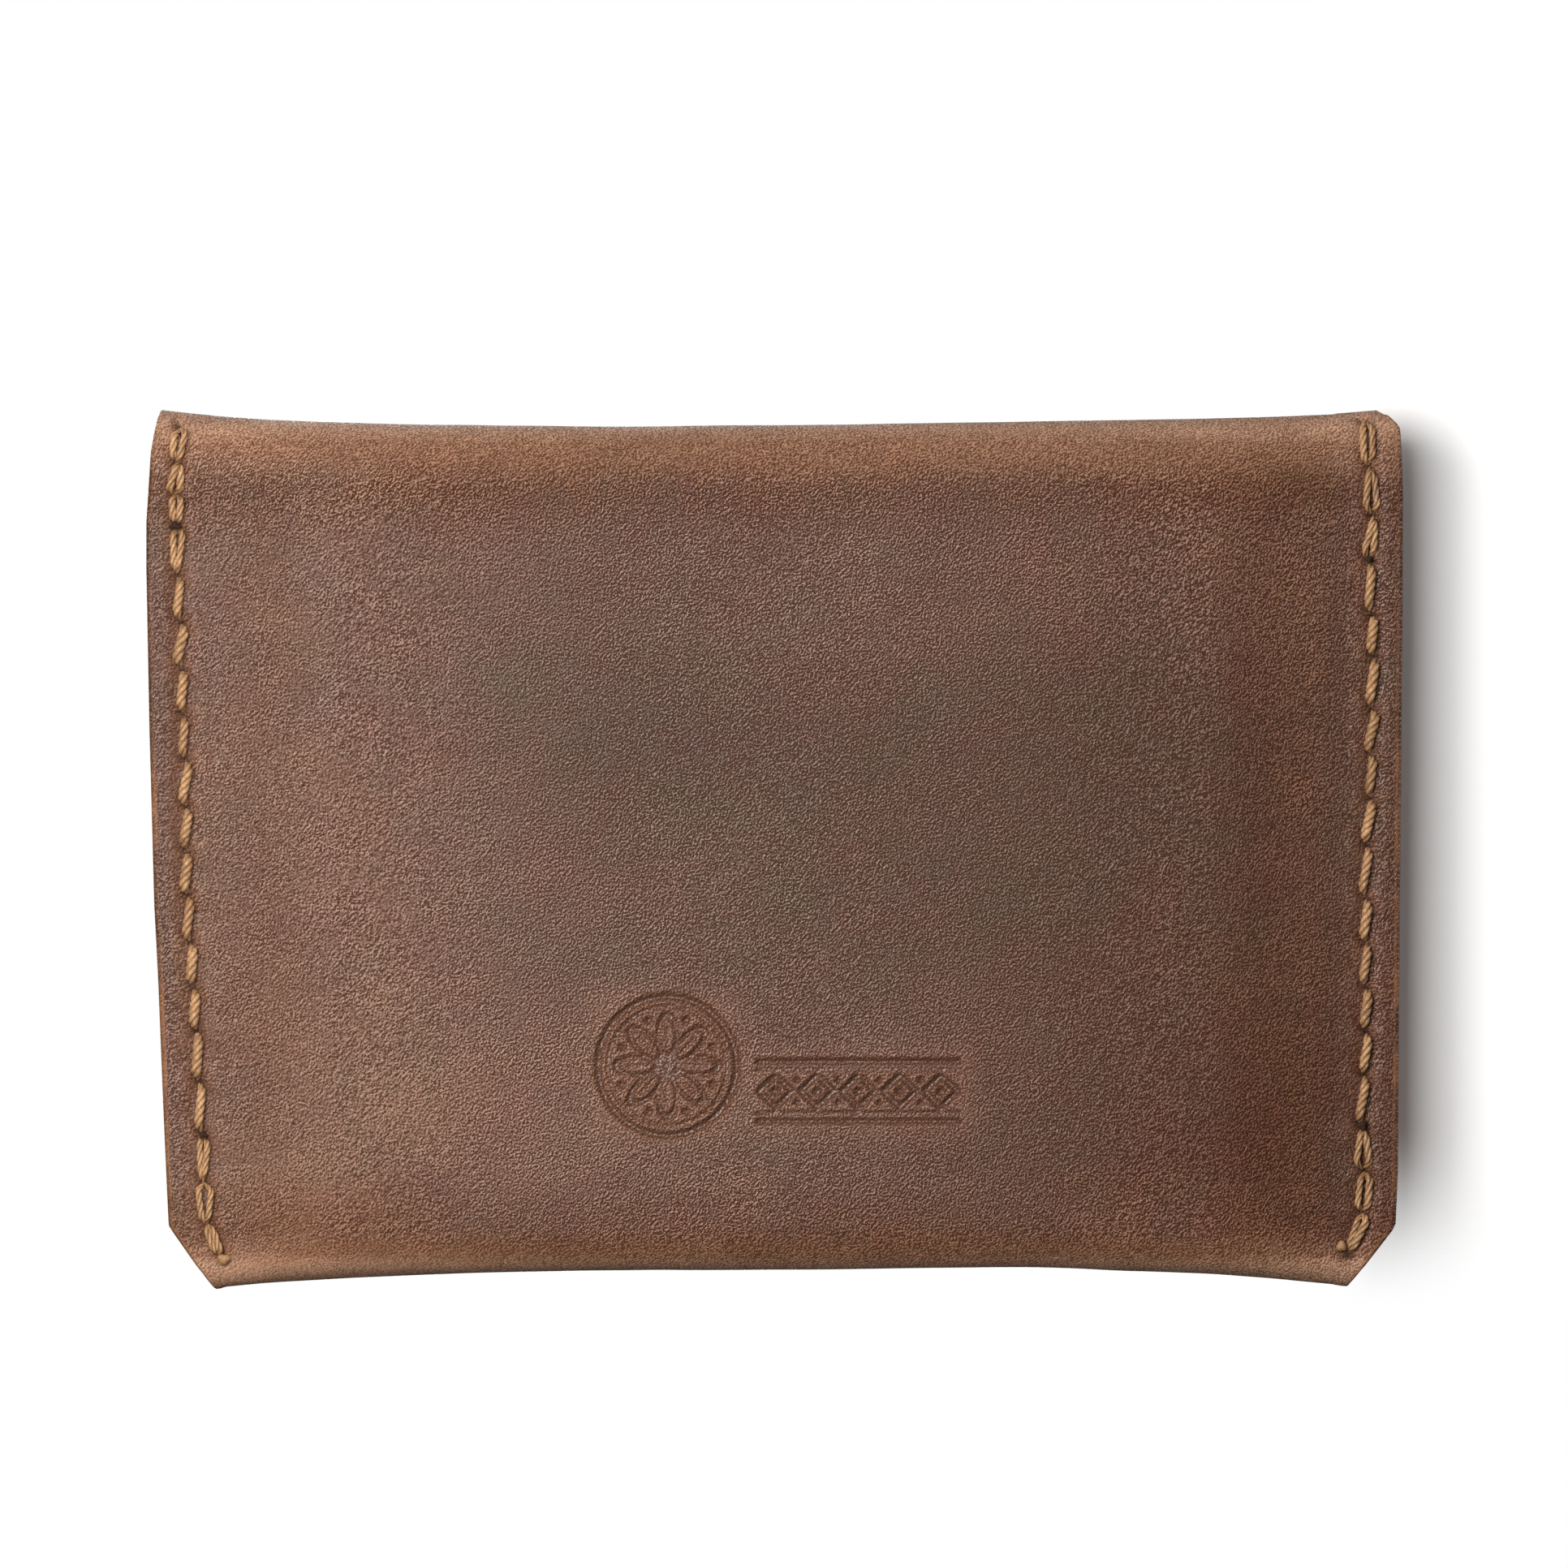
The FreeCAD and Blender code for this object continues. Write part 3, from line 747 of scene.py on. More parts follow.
    # (mask, colour) laid over the dye in turn
    layers = [
        # oils drawn away where the leather is bent: warmer and lighter
        (mul(mul(tree.math("MINIMUM", fold, 1.0),
                 fit(small_cloud, over=(0.25, 0.75), to=(0.65, 1.0))), 0.80),
         worn((0.110, 0.047, 0.024), (0.31, 0.163, 0.096))),
        # the crests of the bends: worn lighter, and painted light where they turn away from the lamps
        (mul(fit(fold, over=(0.95, 1.5)), fit(small_cloud, over=(0.3, 0.7), to=(0.45, 0.85))),
         worn((0.19, 0.098, 0.058), (0.42, 0.25, 0.165))),
        # raised and stretched skin round the stitches, and painted shade in the furrow between them
        (mul(attr("a_mound"), fit(small_cloud, over=(0.35, 0.65), to=(0.10, 0.50))),
         worn((0.112, 0.052, 0.032), (0.265, 0.136, 0.090))),
        (mul(attr("a_groove"), 0.30), rgb(0.055, 0.024, 0.014)),
        # the heated stamp tans the hide redder and burnishes the lines darker
        (mul(attr("a_halo"), 0.30), worn((0.095, 0.041, 0.023), (0.21, 0.098, 0.058))),
        (mul(attr("a_mark"), 0.55), rgb(0.048, 0.021, 0.0125)),
        # painted shade in the stitch holes
        (fit(attr("a_hole"), over=(0.35, 0.95), to=(0.0, 0.92)), rgb(0.012, 0.007, 0.005)),
        (mul(scratches, scratch_strength), rgb(0.26, 0.15, 0.10)),
        (mul(specks, 0.4), rgb(0.28, 0.13, 0.065)),
        # cut edge: bare tan core under the finish
        (mul(edge, 0.85, clamp=True),
         mix(edge_fibres, rgb(0.095, 0.036, 0.015), rgb(0.40, 0.175, 0.072))),
        # flesh side: short suede nap
        (fit(flesh, over=(0.55, 0.95)), nap_colour),
    ]
    for mask, colour in layers:
        base = mix(mask, base, colour)

    # relief: tooth, pores and fine grain, pressed flatter in the stamp and on the calm side
    pores = fit(tree.voronoi(slanted, scale=3.9), over=(0.55, 0.05))
    height = add(mul(tooth, 0.60), mul(pores, 0.40))
    height = add(height, mul(noise(rest, scale=11.0, detail=1.0, rough=0.6), 0.12))
    height = mix(flesh, height, mul(nap, 1.2))
    press = fit(attr("a_mark"), over=(0.0, 1.0), to=(1.0, 0.45))
    strength = mul(mul(press, 0.62), fit(calm, over=(0.0, 1.0), to=(1.0, 0.38)))
    grain_normal = tree.bump(height, strength, distance=0.00010)
    normal = tree.bump(noise(rest, scale=0.9), strength=0.25, distance=0.00025,
                       Normal=grain_normal)

    rough = add(0.47, swing(tooth, -0.14))
    rough = add(rough, swing(cloud, 0.22))
    rough = add(rough, mul(attr("a_mark"), -0.12))
    rough = mix(fit(flesh, over=(0.55, 0.95)), rough, rgb(0.9, 0.9, 0.9))

    specular = fit(mul(tooth, sub(1.0, flesh)), over=(0.15, 0.85), to=(0.05, 0.40))
    specular = mul(specular, fit(attr("a_hole"), over=(0.25, 0.85), to=(1.0, 0.12)))
    specular = mul(specular, mul(fit(warm_shade, over=(0.0, 1.0), to=(1.0, 0.70)),
                                 fit(calm, over=(0.0, 1.0), to=(1.0, 0.55))))
    return tree.finish(tree.node(
        "BsdfPrincipled", Base_Color=base, Roughness=rough, Normal=normal,
        Specular_IOR_Level=specular, Sheen_Weight=0.0, Sheen_Roughness=0.45,
        Sheen_Tint=rgb(0.9, 0.75, 0.65)))


def thread_material():
    tree = Tree("waxed_thread")
    add, mul = tree.add, tree.mul
    rest, burn = tree.attr("rest_co", "Vector"), tree.attr("a_burn")
    ply = tree.node("CombineXYZ", X=mul(tree.attr("a_along"), 1.0), Y=tree.attr("a_turn"),
                    Z=0.0).outputs[0]
    fibres = tree.noise(ply, scale=4.0, detail=3.0, rough=0.6)
    blotches = tree.noise(rest, scale=0.55)
    base = tree.ramp(add(mul(fibres, 0.6), mul(blotches, 0.4)), [
        (0.30, (0.125, 0.060, 0.025)), (0.5, (0.285, 0.148, 0.063)),
        (0.70, (0.52, 0.300, 0.145))])
    # painted shade between the plies, nearly black where the end is burnt
    base = tree.mix(tree.fit(tree.attr("a_crown"), over=(0.15, 0.90), to=(0.92, 0.0)),
                    base, rgb(0.075, 0.028, 0.010))
    base = tree.mix(burn, base, rgb(0.020, 0.009, 0.005))
    lumps = tree.noise(tree.mapping(rest), scale=7.0, rough=0.6)
    normal = tree.bump(add(lumps, mul(fibres, 0.8)), strength=0.5, distance=0.00008)
    return tree.finish(tree.node(
        "BsdfPrincipled", Base_Color=base, Normal=normal,
        Roughness=tree.fit(blotches, over=(0.3, 0.7), to=(0.42, 0.62)),
        Specular_IOR_Level=tree.fit(burn, over=(0.0, 1.0), to=(0.45, 0.12)),
        Sheen_Weight=0.12, Sheen_Tint=rgb(0.85, 0.58, 0.36)))


def metal_material(name, steel=False):
    """Worn spring steel, or brass with brown tarnish."""
    tree = Tree(name)
    rest = tree.attr("rest_co", "Vector")
    wear = tree.noise(rest, scale=0.55, detail=4.0, rough=0.65)
    tarnish = tree.noise(tree.mapping(rest, shift=(4, 4, 4)), scale=1.7, detail=3.0, rough=0.6)
    fine = tree.noise(tree.mapping(rest, scale=(1, 1, 7)), scale=3.5, rough=0.6)
    if steel:
        base = tree.mix(wear, rgb(0.33, 0.32, 0.30), rgb(0.62, 0.60, 0.57))
    else:
        base = tree.ramp(tree.add(tree.mul(wear, 0.55), tree.mul(tarnish, 0.45)), [
            (0.30, (0.10, 0.058, 0.026)), (0.50, (0.33, 0.205, 0.085)),
            (0.68, (0.60, 0.41, 0.185))])
    normal = tree.bump(tree.add(tree.mul(fine, 0.4), wear), strength=0.25, distance=0.00006)
    return tree.finish(tree.node(
        "BsdfPrincipled", Base_Color=base, Metallic=1.0, Normal=normal,
        Roughness=tree.fit(tarnish, over=(0.3, 0.7), to=(0.24, 0.46))))


LEATHER = leather_material()
THREAD = thread_material()
BRASS = metal_material("antique_brass")
STEEL = metal_material("spring_steel", steel=True)


# ------------------------------------------------------------------ cut the strip into its pieces
def end_lid(ring, flip):
    """Faces that close the strip across its thickness at one end."""
    outer, inner = ring[:COLS], ring[COLS + 4:2 * COLS + 4][::-1]
    faces = [[outer[j], outer[j + 1], inner[j + 1], inner[j]] for j in range(COLS - 1)]
    faces.append([outer[-1], *ring[COLS:COLS + 4], inner[-1]])
    faces.append([inner[0], *ring[2 * COLS + 4:], outer[0]])
    return [face[::-1] for face in faces] if flip else faces


def strip_piece(name, first, last, cut_end=None):
    """Rows first..last as one closed mesh; cut_end "first" or "last" gets a rounded cut edge."""
    source = list(range(first, last + 1))
    loops, cut = list(LOOPS[source]), []
    if cut_end:
        row, sign = (first, -1) if cut_end == "first" else (last, 1)
        outward = (LOOPS[row] - LOOPS[row - sign])[:COLS].mean(0)
        outward[0] = 0
        outward /= np.linalg.norm(outward)
        extra = [closed_loop(row, squeeze, outward * push) for squeeze, push in EDGE_ROUNDING]
        if sign > 0:
            loops, source, cut = loops + extra, source + [row, row], [-2, -1]
        else:
            loops, source, cut = extra[::-1] + loops, [row, row] + source, [0, 1]
    attrs = {key: values[source] for key, values in ATTRIBUTES.items()}
    piece_normals = LOOP_NORMALS[source]
    if cut:
        attrs["a_edge"][cut] = 1.0
        piece_normals[cut] = outward

    index = np.arange(len(loops) * LOOP).reshape(-1, LOOP)
    turned = np.roll(index, -1, 1)
    faces = np.stack([index[:-1], index[1:], turned[1:], turned[:-1]], -1).reshape(-1, 4).tolist()
    faces += end_lid(index[0], False) + end_lid(index[-1], True)
    attrs = {key: values.reshape(-1, 3) if values.ndim == 3 else values.ravel()
             for key, values in attrs.items()}
    piece_normals = piece_normals.reshape(-1, 3)
    obj = new_mesh(name, np.stack(loops).reshape(-1, 3), faces, attrs, LEATHER)

    # faces must look the same way as the sheet's own normals
    mesh = obj.data
    sample = mesh.polygons[len(mesh.polygons) // 3]
    if Vector(piece_normals[sample.vertices[0]]).dot(sample.normal) < 0:
        mesh.flip_normals()
    mesh.normals_split_custom_set_from_vertices(piece_normals.tolist())
    return obj


attach(strip_piece("leather_pocket_shell", 0, cut_rows[0], cut_end="first"),
       "body", "leather_body")

# name, the bodies on either side of it, CAD part it replaces
FOLD_PIECES = (("top_fold_back", "body", "fold_lower", "flap_fold_lower"),
               ("top_fold_crest", "fold_lower", "fold_upper", None),
               ("top_fold_front", "fold_upper", "flap", "flap_fold_upper"))
for (name, body_from, body_to, stands_for), first, last in zip(
        FOLD_PIECES, cut_rows, cut_rows[1:]):
    piece = strip_piece(name, first, last)
    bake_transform(piece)
    if stands_for:
        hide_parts(stands_for)

attach(strip_piece("flap_leaf", cut_rows[3], ROWS - 1, cut_end="last"),
       "flap", "flap")

# ------------------------------------------------------------------ divider leaf
DIVIDER_BOTTOM, DIVIDER_TOP = 3.7, 66.8
DIVIDER_THICKNESS = 0.86
DIVIDER_INSET = 0.35      # from the pocket's outline
DIVIDER_EDGE = 0.22       # reach of its rounded edge
# (share of the edge's reach, share of the thickness) across the rounded edge
DIVIDER_EDGE_PROFILE = [(0.55, 0.42), (0.95, 0.20), (1.0, 0.0), (0.95, -0.20), (0.55, -0.42)]


def divider_surface():
    """Grid of the leaf's middle surface, halfway between pocket front and back."""
    rim_z = dipped_rim(rim_z=DIVIDER_TOP, depth=4.0, blur=0.8)
    waver = Field(23, 17.0)
    across = np.concatenate([-np.arange(52.4, 44, -0.7), np.linspace(-44, 44, 111),
                             np.arange(44.7, 52.41, 0.7)])
    surface = []
    for t in np.linspace(0, 1, 80):
        z = DIVIDER_BOTTOM + t * (rim_z(across) - DIVIDER_BOTTOM)
        z_side = DIVIDER_BOTTOM + t * (DIVIDER_TOP - DIVIDER_BOTTOM)
        x = fit_margins(across, body_left(z_side) + DIVIDER_INSET,
                        body_right(z_side) - DIVIDER_INSET)
        y = pocket_y(x) + 0.22 * waver(x, z) * (1 - pinch(x))
        surface.append(np.stack([x, y, z], -1))
    return np.stack(surface)


def build_divider():
    surface = divider_surface()
    row_count, col_count = surface.shape[:2]
    across = grid_normals(surface)
    if across[row_count // 2, col_count // 2, 1] > 0:
        across = -across
    centre = surface.reshape(-1, 3).mean(0)
    verts, rest, edge, flesh, faces = [], [], [], [], []
    index = np.arange(2 * row_count * col_count).reshape(2, row_count, col_count)

    # the two faces; texture coordinates are moved along Y away from the shell's
    for side, offset in ((0, 0.5), (1, -0.5)):
        for i in range(row_count):
            for j in range(col_count):
                verts.append(surface[i, j] + across[i, j] * DIVIDER_THICKNESS * offset)
                rest.append(surface[i, j] + (0, 30 + 5 * side, 0))
                flesh.append(0.35 if side == 0 else 1.0)
                edge.append(float(i in (0, row_count - 1) or j in (0, col_count - 1)))
    a, b = index
    for i in range(row_count - 1):
        for j in range(col_count - 1):
            faces.append([a[i, j], a[i + 1, j], a[i + 1, j + 1], a[i, j + 1]])
            faces.append([b[i, j], b[i, j + 1], b[i + 1, j + 1], b[i + 1, j]])

    # a rounded rim all the way round
    border = ([(0, j) for j in range(col_count)]
              + [(i, col_count - 1) for i in range(1, row_count)]
              + [(row_count - 1, j) for j in range(col_count - 2, -1, -1)]
              + [(i, 0) for i in range(row_count - 2, 0, -1)])
    count = len(border)
    chain = [[a[place] for place in border]]
    for reach, level in DIVIDER_EDGE_PROFILE:
        ring = []
        for k, place in enumerate(border):
            along = surface[border[(k + 1) % count]] - surface[border[k - 1]]
            along /= np.linalg.norm(along)
            outward = np.cross(along, across[place])
            if outward @ (surface[place] - centre) < 0:
                outward = -outward
            ring.append(len(verts))
            verts.append(surface[place] + outward * DIVIDER_EDGE * reach
                         + across[place] * DIVIDER_THICKNESS * level)
            rest.append(surface[place] + (0, 30 + 2 * level, 0))
            flesh.append(0.4)
            edge.append(1.0)
        chain.append(ring)
    chain.append([b[place] for place in border])
    for upper, lower in zip(chain, chain[1:]):
        for k in range(count):
            after = (k + 1) % count
            faces.append([upper[k], upper[after], lower[after], lower[k]])

    attrs = {"a_edge": edge, "a_flesh": flesh, "rest_co": rest}
    for key in ("hole", "mound", "mark", "halo", "fold", "groove", "tone_and_shade", "warm_shade", "calm"):
        attrs["a_" + key] = np.zeros(len(verts))
    return tidy(new_mesh("card_divider_leaf", verts, faces, attrs, LEATHER))


attach(build_divider(), "body", "inner_divider")

# ------------------------------------------------------------------ saddle stitching in twisted waxed thread
TUBE_SIDES = 7
PLIES = 3
STITCH_SINK = 0.95        # depth of a stitch's ends below the leather's face
FRONT_STITCH_TOP = 70.0   # stitches on the pocket front stop here


def path_frames(path):
    """Unit tangents, two unit cross directions and the run along a path."""
    tangents = np.gradient(path, axis=0)
    tangents /= np.linalg.norm(tangents, axis=1, keepdims=True)
    sides = np.cross(tangents, [0.0, -1.0, 0.0])
    sides[np.linalg.norm(sides, axis=1) < 1e-3] = (1.0, 0, 0)
    sides /= np.linalg.norm(sides, axis=1, keepdims=True)
    run = np.concatenate([[0], np.cumsum(np.linalg.norm(np.diff(path, axis=0), axis=1))])
    return tangents, sides, np.cross(sides, tangents), run


class Thread:
    """Collects ropes and beads into one mesh."""

    def __init__(self):
        self.verts, self.faces = [], []
        self.attrs = {"a_crown": [], "a_along": [], "a_turn": [], "a_burn": []}

    def vertex(self, point, *values):
        """values are crown, along, turn and burn."""
        self.verts.append(point)
        for stored, value in zip(self.attrs.values(), values):
            stored.append(value)

    def ply(self, path, radii, centres, envelope, turn_start, run_start):
        """A closed tube; its crown value rises with distance from the rope's centre line."""
        tangents, sides, ups, run = path_frames(path)
        base, count = len(self.verts), len(path)
        for i in range(count):
            for k in range(TUBE_SIDES):
                angle = 2 * math.pi * k / TUBE_SIDES
                ray = sides[i] * math.cos(angle) + ups[i] * math.sin(angle)
                point = path[i] + ray * radii[i]
                distance = np.linalg.norm(point - centres[i]) / envelope[i]
                crown = min(1.0, max(0.0, (distance - 0.35) / 0.65))
                self.vertex(point, crown, run[i] + run_start,
                            k / TUBE_SIDES * 1.2 + turn_start, 0.0)
        for i in range(count - 1):
            ring = base + i * TUBE_SIDES
            for k in range(TUBE_SIDES):
                k2 = (k + 1) % TUBE_SIDES
                self.faces.append([ring + k, ring + k2,
                                   ring + TUBE_SIDES + k2, ring + TUBE_SIDES + k])
        for i, sign in ((0, -1), (count - 1, 1)):
            tip, ring = len(self.verts), base + i * TUBE_SIDES
            self.vertex(path[i] + tangents[i] * sign * radii[i] * 0.7,
                        0.4, run[i] + run_start, turn_start, 0.0)
            for k in range(TUBE_SIDES):
                pair = [ring + k, ring + (k + 1) % TUBE_SIDES]
                self.faces.append(pair[::sign] + [tip])

    def rope(self, path, radius, pitch, phase):
        """Twisted plies wound round the path; radius is the rope's at each point."""
        _, sides, ups, run = path_frames(path)
        for p in range(PLIES):
            angle = (phase + 2 * math.pi * (p / PLIES - run / pitch))[:, None]
            offset = (sides * np.cos(angle) + ups * np.sin(angle)) * radius[:, None] * 0.50
            self.ply(path + offset, radius * 0.56, path, radius * 1.06,
                     turn_start=p * 3.7, run_start=phase * 2.0)

    def bead(self, centre, radii, burn, seed, lumps):
        """A small lumpy bead."""
        phase = np.random.default_rng(seed).uniform(0, 6, 6)
        base, bands, segments = len(self.verts), 9, 14
        for i in range(bands + 1):
            polar = math.pi * i / bands
            for k in range(segments):
                angle = 2 * math.pi * k / segments
                ray = np.array([math.sin(polar) * math.cos(angle), math.cos(polar),
                                math.sin(polar) * math.sin(angle)])
                swelling = 1 + lumps * (
                    math.sin(3 * angle + phase[0]) * math.sin(polar)
                    + 0.6 * math.sin(2 * polar + phase[1])
                    + 0.4 * math.sin(5 * angle + phase[2]) * math.sin(2 * polar))
                self.vertex(np.array(centre) + ray * np.array(radii) * swelling,
                            1.0, polar * 2, angle, burn)
        for i in range(bands):
            ring = base + i * segments
            for k in range(segments):
                k2 = (k + 1) % segments
                self.faces.append([ring + k, ring + k2, ring + segments + k2,
                                   ring + segments + k])

    def build(self, name):
        points = np.array(self.verts)
        return tidy(new_mesh(name, points, self.faces, {**self.attrs, "rest_co": points},
                             THREAD), merge=True)


def face_y(x, z, back):
    """Y of the sheet's face where a stitch lies, before the stitch presses in."""
    if not back:
        return y_front(x)
    radius, centre_z = fold_radius(x), fold_z(x)
    rise = np.clip(z - centre_z, 0, radius - 0.05)
    bent = fold_y(x) - np.sqrt(np.maximum(0.02, radius * radius - rise ** 2))
    return np.where(z > centre_z, bent, y_back(x))


def stitch_path(start, end, back, lean, lift, lateral, gap):
    """Path of one stitch between two holes, and how far it is up out of them (0..1)."""
    def ends_down(width):
        return smooth(t / width), smooth((1 - t) / width)

    t = np.linspace(0, 1, 23)
    start, end = np.array(start, float), np.array(end, float)
    length = np.linalg.norm(end - start)
    inset = gap / length
    along = inset + t * (1 - 2 * inset)
    x = start[0] + (end[0] - start[0]) * along
    z = start[1] + (end[1] - start[1]) * along
    lean_in, lean_out = ends_down(0.2)
    side_in, side_out = ends_down(0.25)
    sideways = lean * (1 - 2 * t) * lean_in * lean_out + lateral * side_in * side_out
    x = x + sideways * abs((end[1] - start[1]) / length)
    up_in, up_out = ends_down(0.24)
    up = up_in ** 0.8 * up_out ** 0.8
    height = -STITCH_SINK + (STITCH_SINK + lift) * up
    y = face_y(x, z, back) + (-height if back else height)
    return np.stack([x, y, z], 1), up


def sew_stitch(thread, start, end, back, doubled):
    phase = draw(0, 6.28)
    radius = 0.405 * draw(0.92, 1.10)
    if not doubled:
        path, up = stitch_path(start, end, back, lean=0.34 + 0.10 * draw(-1, 1),
                               lift=0.20 + 0.05 * draw(-1, 1), lateral=0.06 * draw(-1, 1),
                               gap=draw(-0.02, 0.24))
        thread.rope(path, radius * (0.48 + 0.52 * up), phase=phase, pitch=draw(1.9, 2.5))
        return
    # two thinner passes side by side that may cross
    offset = draw(0.25, 0.40)
    cross = draw(-0.32, 0.32)
    over = 1 if cross > 0 else -1
    for sign in (-1, 1):
        path, up = stitch_path(start, end, back, lean=0.12 + sign * cross,
                               lateral=sign * offset + 0.07 * draw(-1, 1),
                               lift=0.17 + 0.16 * sign * over * 0.6, gap=draw(-0.20, 0.12))
        thread.rope(path, 0.30 * draw(0.88, 1.10) * (0.50 + 0.50 * up),
                    phase=phase + sign, pitch=draw(2.2, 3.0))


def blend_top_stitches(obj):
    """The top stitches lie where the sheet starts to bend; here they only get their transform applied."""
    x = 50.0
    radius, centre_z, y = fold_radius(x), fold_z(x), y_back(x)
    straight = centre_z - SPLIT_Z
    length = straight + radius * math.acos((fold_y(x) - CREST_BACK_Y) / radius)
    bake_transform(obj)


# side, holes, numbers of the doubled stitches,
# beads of thread: centre, radii, burnt share, seed, lumpiness
SEAMS = [
    ("left", LEFT_HOLES, {0, 1, 2, 3, 16, 17, 18}, [
        ((-49.95, -4.10, 63.68), (0.42, 0.30, 0.34), 1.0, 1, 0.25),
        ((-47.62, -4.10, 12.88), (0.38, 0.28, 0.30), 1.0, 2, 0.25),
        ((-45.85, -4.25, 2.55), (0.62, 0.42, 0.50), 0.0, 3, 0.16)]),
    ("right", RIGHT_HOLES, {0, 1, 2, 15, 16, 17}, [
        ((49.5, -4.10, 60.88), (0.34, 0.28, 0.28), 1.0, 4, 0.25),
        ((48.97, -4.12, 13.7), (0.38, 0.30, 0.38), 1.0, 5, 0.25),
        ((47.25, -4.3, 3.65), (0.46, 0.40, 0.48), 0.0, 6, 0.12)]),
]
draw = np.random.default_rng(42).uniform
for side, holes, doubled, beads in SEAMS:
    low, high = Thread(), Thread()
    for i, (upper, lower) in enumerate(zip(holes, holes[1:])):
        for back in (True, False):
            start = upper
            if not back and upper[1] > 70.6:
                start = (upper[0], min(upper[1], FRONT_STITCH_TOP))
                if start[1] - lower[1] < 1.2:
                    continue
            on_fold = back and (start[1] + lower[1]) / 2 > SPLIT_Z
            sew_stitch(high if on_fold else low, start, lower, back, i in doubled)
    for bead in beads:
        low.bead(*bead)
    attach(low.build(side + "_saddle_stitches"), "body", side + "_seam_thread")
    top_stitches = high.build(side + "_top_stitches")
    blend_top_stitches(top_stitches)


# ------------------------------------------------------------------ snap fastener, turned parts
def lathe(name, profile, segments, wobble=0.0, seed=0):
    """A turned brass part about the snap's axis; profile is its (radius, Y) outline."""
    verts, faces = [], []
    count = len(profile)
    phase = np.random.default_rng(seed).uniform(0, 6, 4)
    for k in range(segments):
        angle = 2 * math.pi * k / segments
        waver = 1 + wobble * (math.sin(2 * angle + phase[0])
                              + 0.5 * math.sin(5 * angle + phase[1]))
        for radius, y in profile:
            verts.append((SNAP_X + radius * waver * math.cos(angle), y,
                          SNAP_Z + radius * waver * math.sin(angle)))
    for k in range(segments):
        this, after = k * count, (k + 1) % segments * count
        for i in range(count - 1):
            if profile[i][0] < 1e-6 and profile[i + 1][0] < 1e-6:
                continue
            faces.append([this + i, after + i, after + i + 1, this + i + 1])
    obj = new_mesh(name, verts, faces, {"rest_co": verts}, BRASS)
    return tidy(obj, merge=True, sharp_angle=math.radians(38))


def fillet(points, radius, steps):
    """Rounds the inner corners of an open outline."""
    rounded = [points[0]]
    for corner in zip(points, points[1:], points[2:]):
        before, middle, after = (np.array(point, float) for point in corner)
        back, ahead = before - middle, after - middle
        back_length, ahead_length = np.linalg.norm(back), np.linalg.norm(ahead)
        cut = min(radius, back_length * 0.45, ahead_length * 0.45)
        start, end = middle + back / back_length * cut, middle + ahead / ahead_length * cut
        for i in range(steps + 1):
            t = i / steps
            rounded.append(tuple((1 - t) ** 2 * start + 2 * t * (1 - t) * middle
                                 + t * t * end))
    rounded.append(points[-1])
    return rounded


# all outlines are (radius, Y)
CAP_RADIUS, CAP_EDGE_Y, CAP_RISE = 6.2, 5.20, 0.83
cap_outline = [(0.0, CAP_EDGE_Y + CAP_RISE)]
cap_outline += [(r, CAP_EDGE_Y + CAP_RISE * math.sqrt(max(0.0, 1 - (r / CAP_RADIUS) ** 2.6)))
                for r in np.linspace(0.4, 6.16, 22)]
cap_outline += [(CAP_RADIUS, 5.12), (6.05, 5.02), (1.75, 5.02), (1.75, 3.1), (2.4, 3.06),
                (2.42, 2.9), (2.2, 2.86), (1.35, 2.86), (1.26, 2.95), (1.22, 3.30), (0.9, 3.42),
                (0.0, 3.46)]
socket_outline = fillet([
    (1.82, 3.60), (4.55, 3.62), (5.0, 3.45), (5.02, 3.2), (4.45, 3.08), (4.3, 2.6),
    (4.3, 1.98), (4.1, 1.78), (3.2, 1.77), (3.08, 1.84), (3.2, 1.93), (3.62, 1.98),
    (3.66, 2.7), (3.3, 3.1), (1.82, 3.12), (1.82, 3.60)], radius=0.14, steps=4)
stud_outline = fillet([
    (1.45, 1.27), (4.6, 1.27), (4.8, 1.38), (4.72, 1.52), (2.7, 1.66), (2.14, 1.80),
    (2.10, 2.02), (2.38, 2.16), (2.5, 2.34), (2.36, 2.55), (1.9, 2.68), (0.9, 2.70),
    (0.55, 2.60), (0.0, 2.58)], radius=0.15, steps=4)
stud_outline += [(0.0, 2.44), (1.43, 2.42), (1.45, 1.27)]
post_outline = [(0.0, -0.45)] + fillet([
    (0.3, -0.45), (4.7, -0.44), (5.0, -0.34), (4.85, -0.18), (1.42, -0.17), (1.40, 2.36),
    (0.95, 2.38), (0.9, 0.0), (0.3, 0.0)], radius=0.1, steps=3) + [(0.0, 0.0)]

attach(lathe("snap_cap_dome", cap_outline, 128, wobble=0.0006, seed=5),
       "flap", "snap_cap")
attach(lathe("snap_socket_ring", socket_outline, 96), "flap", "snap_socket")
attach(lathe("snap_stud_ball", stud_outline, 96), "body", "snap_stud")
attach(lathe("snap_post_eyelet", post_outline, 72), "body", "snap_post")


